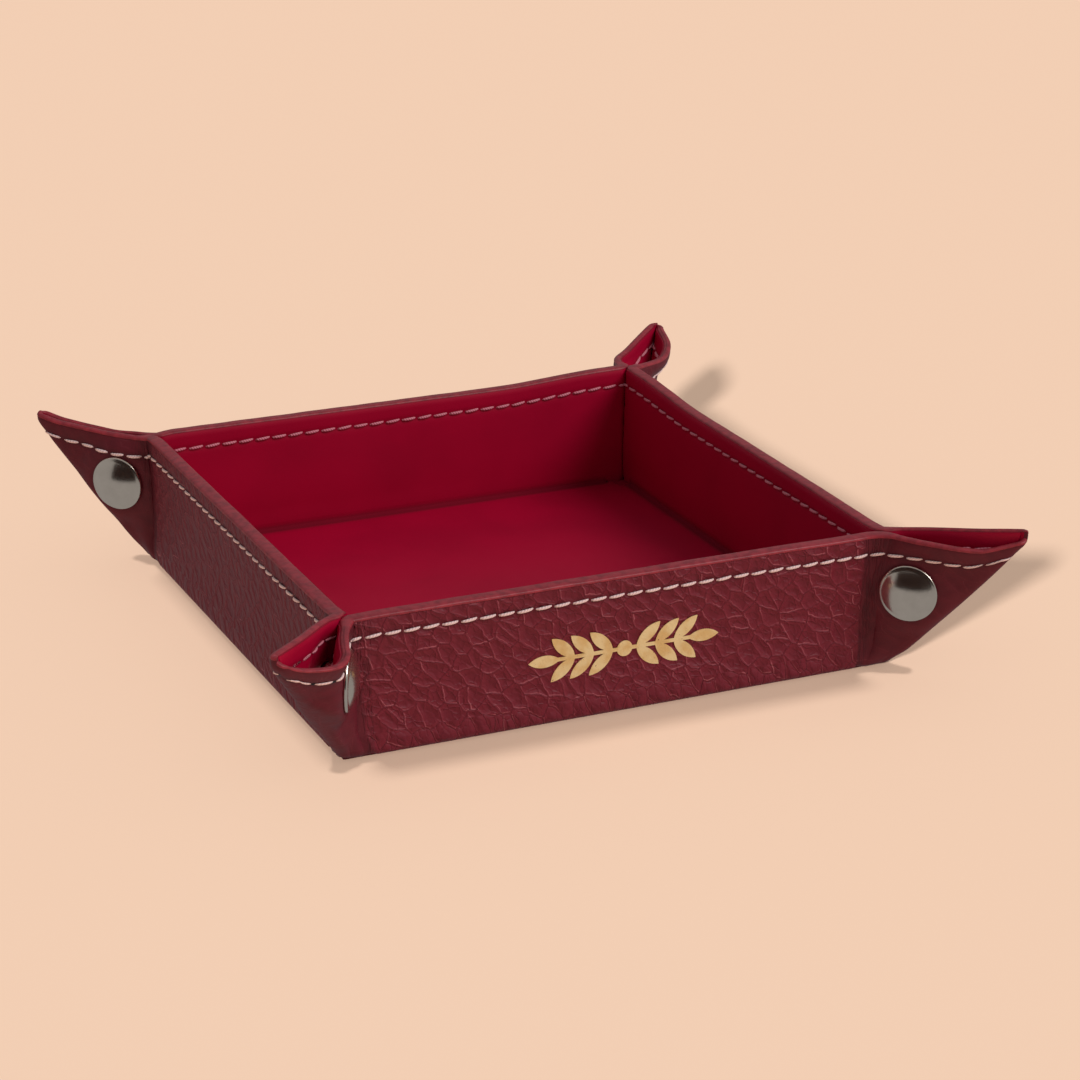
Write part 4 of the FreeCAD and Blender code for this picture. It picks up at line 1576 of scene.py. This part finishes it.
@dataclass
class Studio:
    """The pale floor, the soft lights and the camera.

    Each of floor_lights has a name, the way its light travels, its share of the floor's light and its angle
    across in degrees.
    """

    floor_tone: tuple = tone(207, 176, 153)
    ambient: float = 0.32
    floor_lights: tuple = (
        ("low_light", (44.2, 52.6, -30.0), 0.63, 4.5),
        ("high_light", (-1.0, -8.0, -30.0), 0.48, 14.0),
    )
    key_toward: tuple = (-0.62, 0.62, -0.78)
    key_strength: float = 1.6
    card_toward: tuple = (0.62, 0.78)
    card_size: tuple = (2.2, 1.1)
    card_away: float = 1.2
    card_height: float = 0.42
    camera_place: tuple = (-247.6, -557.4, 246.2)
    right_axis: tuple = (0.90947, -0.41569, 0.00811)
    down_axis: tuple = (-0.13975, -0.32402, -0.93567)
    forward_axis: tuple = (0.39158, 0.84983, -0.35278)
    lens: float = 99.83

    def make_floor(self) -> bpy.types.Object:
        """A wide pale floor under the tray."""
        bm = bmesh.new()
        bmesh.ops.create_grid(bm, x_segments=8, y_segments=8, size=4.0)
        floor = write_mesh("studio_floor", bm)
        if floor.data.polygons[0].normal.z < 0:
            floor.data.flip_normals()
        graph = Graph("studio_floor")
        cloud = graph.noise(graph.local(), 900.0, 1.0)
        colour = graph.colour_mix(cloud * 0.02, self.floor_tone, tone(203, 173, 150))
        floor.data.materials.append(graph.finish(Base_Color=colour, Roughness=1.0, Specular_IOR_Level=0.0))
        floor.visible_glossy = False
        floor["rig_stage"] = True
        return floor

    def make_card(self) -> None:
        """A dark card that only the polished metal shows, as a dim room does."""
        bm = bmesh.new()
        bmesh.ops.create_grid(bm, x_segments=2, y_segments=2, size=0.5)
        facing = Vector((self.card_toward[0], self.card_toward[1], 0.0)).normalized()
        turn = facing.to_track_quat("Z", "Y").to_matrix().to_4x4()
        bmesh.ops.scale(bm, verts=bm.verts[:], vec=(self.card_size[0], self.card_size[1], 1.0))
        bmesh.ops.transform(bm, verts=bm.verts[:], matrix=turn)
        away = Vector((0.0, 0.0, self.card_height)) - facing * self.card_away
        bmesh.ops.translate(bm, verts=bm.verts[:], vec=away)
        card = write_mesh("dark_card", bm)
        graph = Graph("dark_card")
        card.data.materials.append(graph.finish(Base_Color=tone(46, 30, 28), Roughness=1.0))
        card.visible_camera = False
        card.visible_diffuse = False
        card.visible_shadow = False
        card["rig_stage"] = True

    def make_world(self) -> None:
        """Even soft light from everywhere."""
        world = bpy.data.worlds.new("studio")
        world.use_nodes = True
        background = world.node_tree.nodes["Background"]
        background.inputs["Color"].default_value = (1.0, 1.0, 1.0, 1.0)
        background.inputs["Strength"].default_value = self.ambient
        bpy.context.scene.world = world

    def make_sun(self, name: str, toward: tuple, strength: float, spread: float) -> bpy.types.Object:
        """A distant soft light.

        Args:
            name: name of the light.
            toward: the direction in which its light travels.
            strength: its strength.
            spread: its angle across, in degrees.

        Returns:
            The light.
        """
        data = bpy.data.lights.new(name, "SUN")
        data.energy = strength
        data.angle = math.radians(spread)
        light = bpy.data.objects.new(name, data)
        light.rotation_euler = Vector(toward).to_track_quat("-Z", "Y").to_euler()
        bpy.context.scene.collection.objects.link(light)
        return light

    def make_lights(self, floor: bpy.types.Object) -> None:
        """Lights the tray with one light, and lays its shadows on the floor with two others."""
        only_floor = bpy.data.collections.new("lit_floor")
        only_floor.objects.link(floor)
        box = bpy.data.collections.new("box_walls")
        for piece in bpy.context.scene.objects:
            if piece.type == "MESH" and piece.name.startswith(("base_", "wall_")):
                box.objects.link(piece)
        for name, toward, share, spread in self.floor_lights:
            strength = share * math.pi * Vector(toward).length / -toward[2]
            light = self.make_sun(name, toward, strength, spread)
            light.light_linking.receiver_collection = only_floor
            if name == "high_light":
                light.light_linking.blocker_collection = box
        key = self.make_sun("key_light", self.key_toward, self.key_strength, 30.0)
        tray = bpy.data.collections.new("lit_tray")
        for piece in bpy.context.scene.objects:
            if piece.type == "MESH" and not piece.get("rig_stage"):
                tray.objects.link(piece)
        key.light_linking.receiver_collection = tray

    def make_camera(self) -> None:
        """The camera, at the front left and above."""
        data = bpy.data.cameras.new("camera")
        data.lens = self.lens
        data.sensor_width = 36.0
        data.clip_start = 0.01
        camera = bpy.data.objects.new("camera", data)
        right, down, forward = (Vector(axis) for axis in (self.right_axis, self.down_axis, self.forward_axis))
        turn = Matrix((right, -down, -forward)).transposed().to_4x4()
        camera.matrix_world = Matrix.Translation(Vector(self.camera_place) * MM) @ turn
        bpy.context.scene.collection.objects.link(camera)
        bpy.context.scene.camera = camera

    def make(self) -> None:
        """Builds the studio."""
        floor = self.make_floor()
        self.make_world()
        self.make_card()
        self.make_lights(floor)
        self.make_camera()
        scene = bpy.context.scene
        scene.view_settings.view_transform = "Standard"
        scene.view_settings.look = "None"


def main() -> None:
    """Builds the tray and the studio around it."""
    logging.basicConfig(level=logging.INFO, format="%(name)s: %(message)s")
    finishes = Finishes()
    maker = SheetMaker(Sheet.from_frame(), finishes)
    maker.make_base()
    maker.make_corner_webs()
    edges = EdgeMaker(maker)
    stitches = StitchMaker(maker)
    for wall in Wall:
        maker.make_wall(wall)
        edges.make_wall(wall)
        stitches.make_wall(wall)
    CapMaker(finishes).make_all()
    Hardware(finishes).dress()
    Studio().make()


if __name__ == "__main__":
    main()
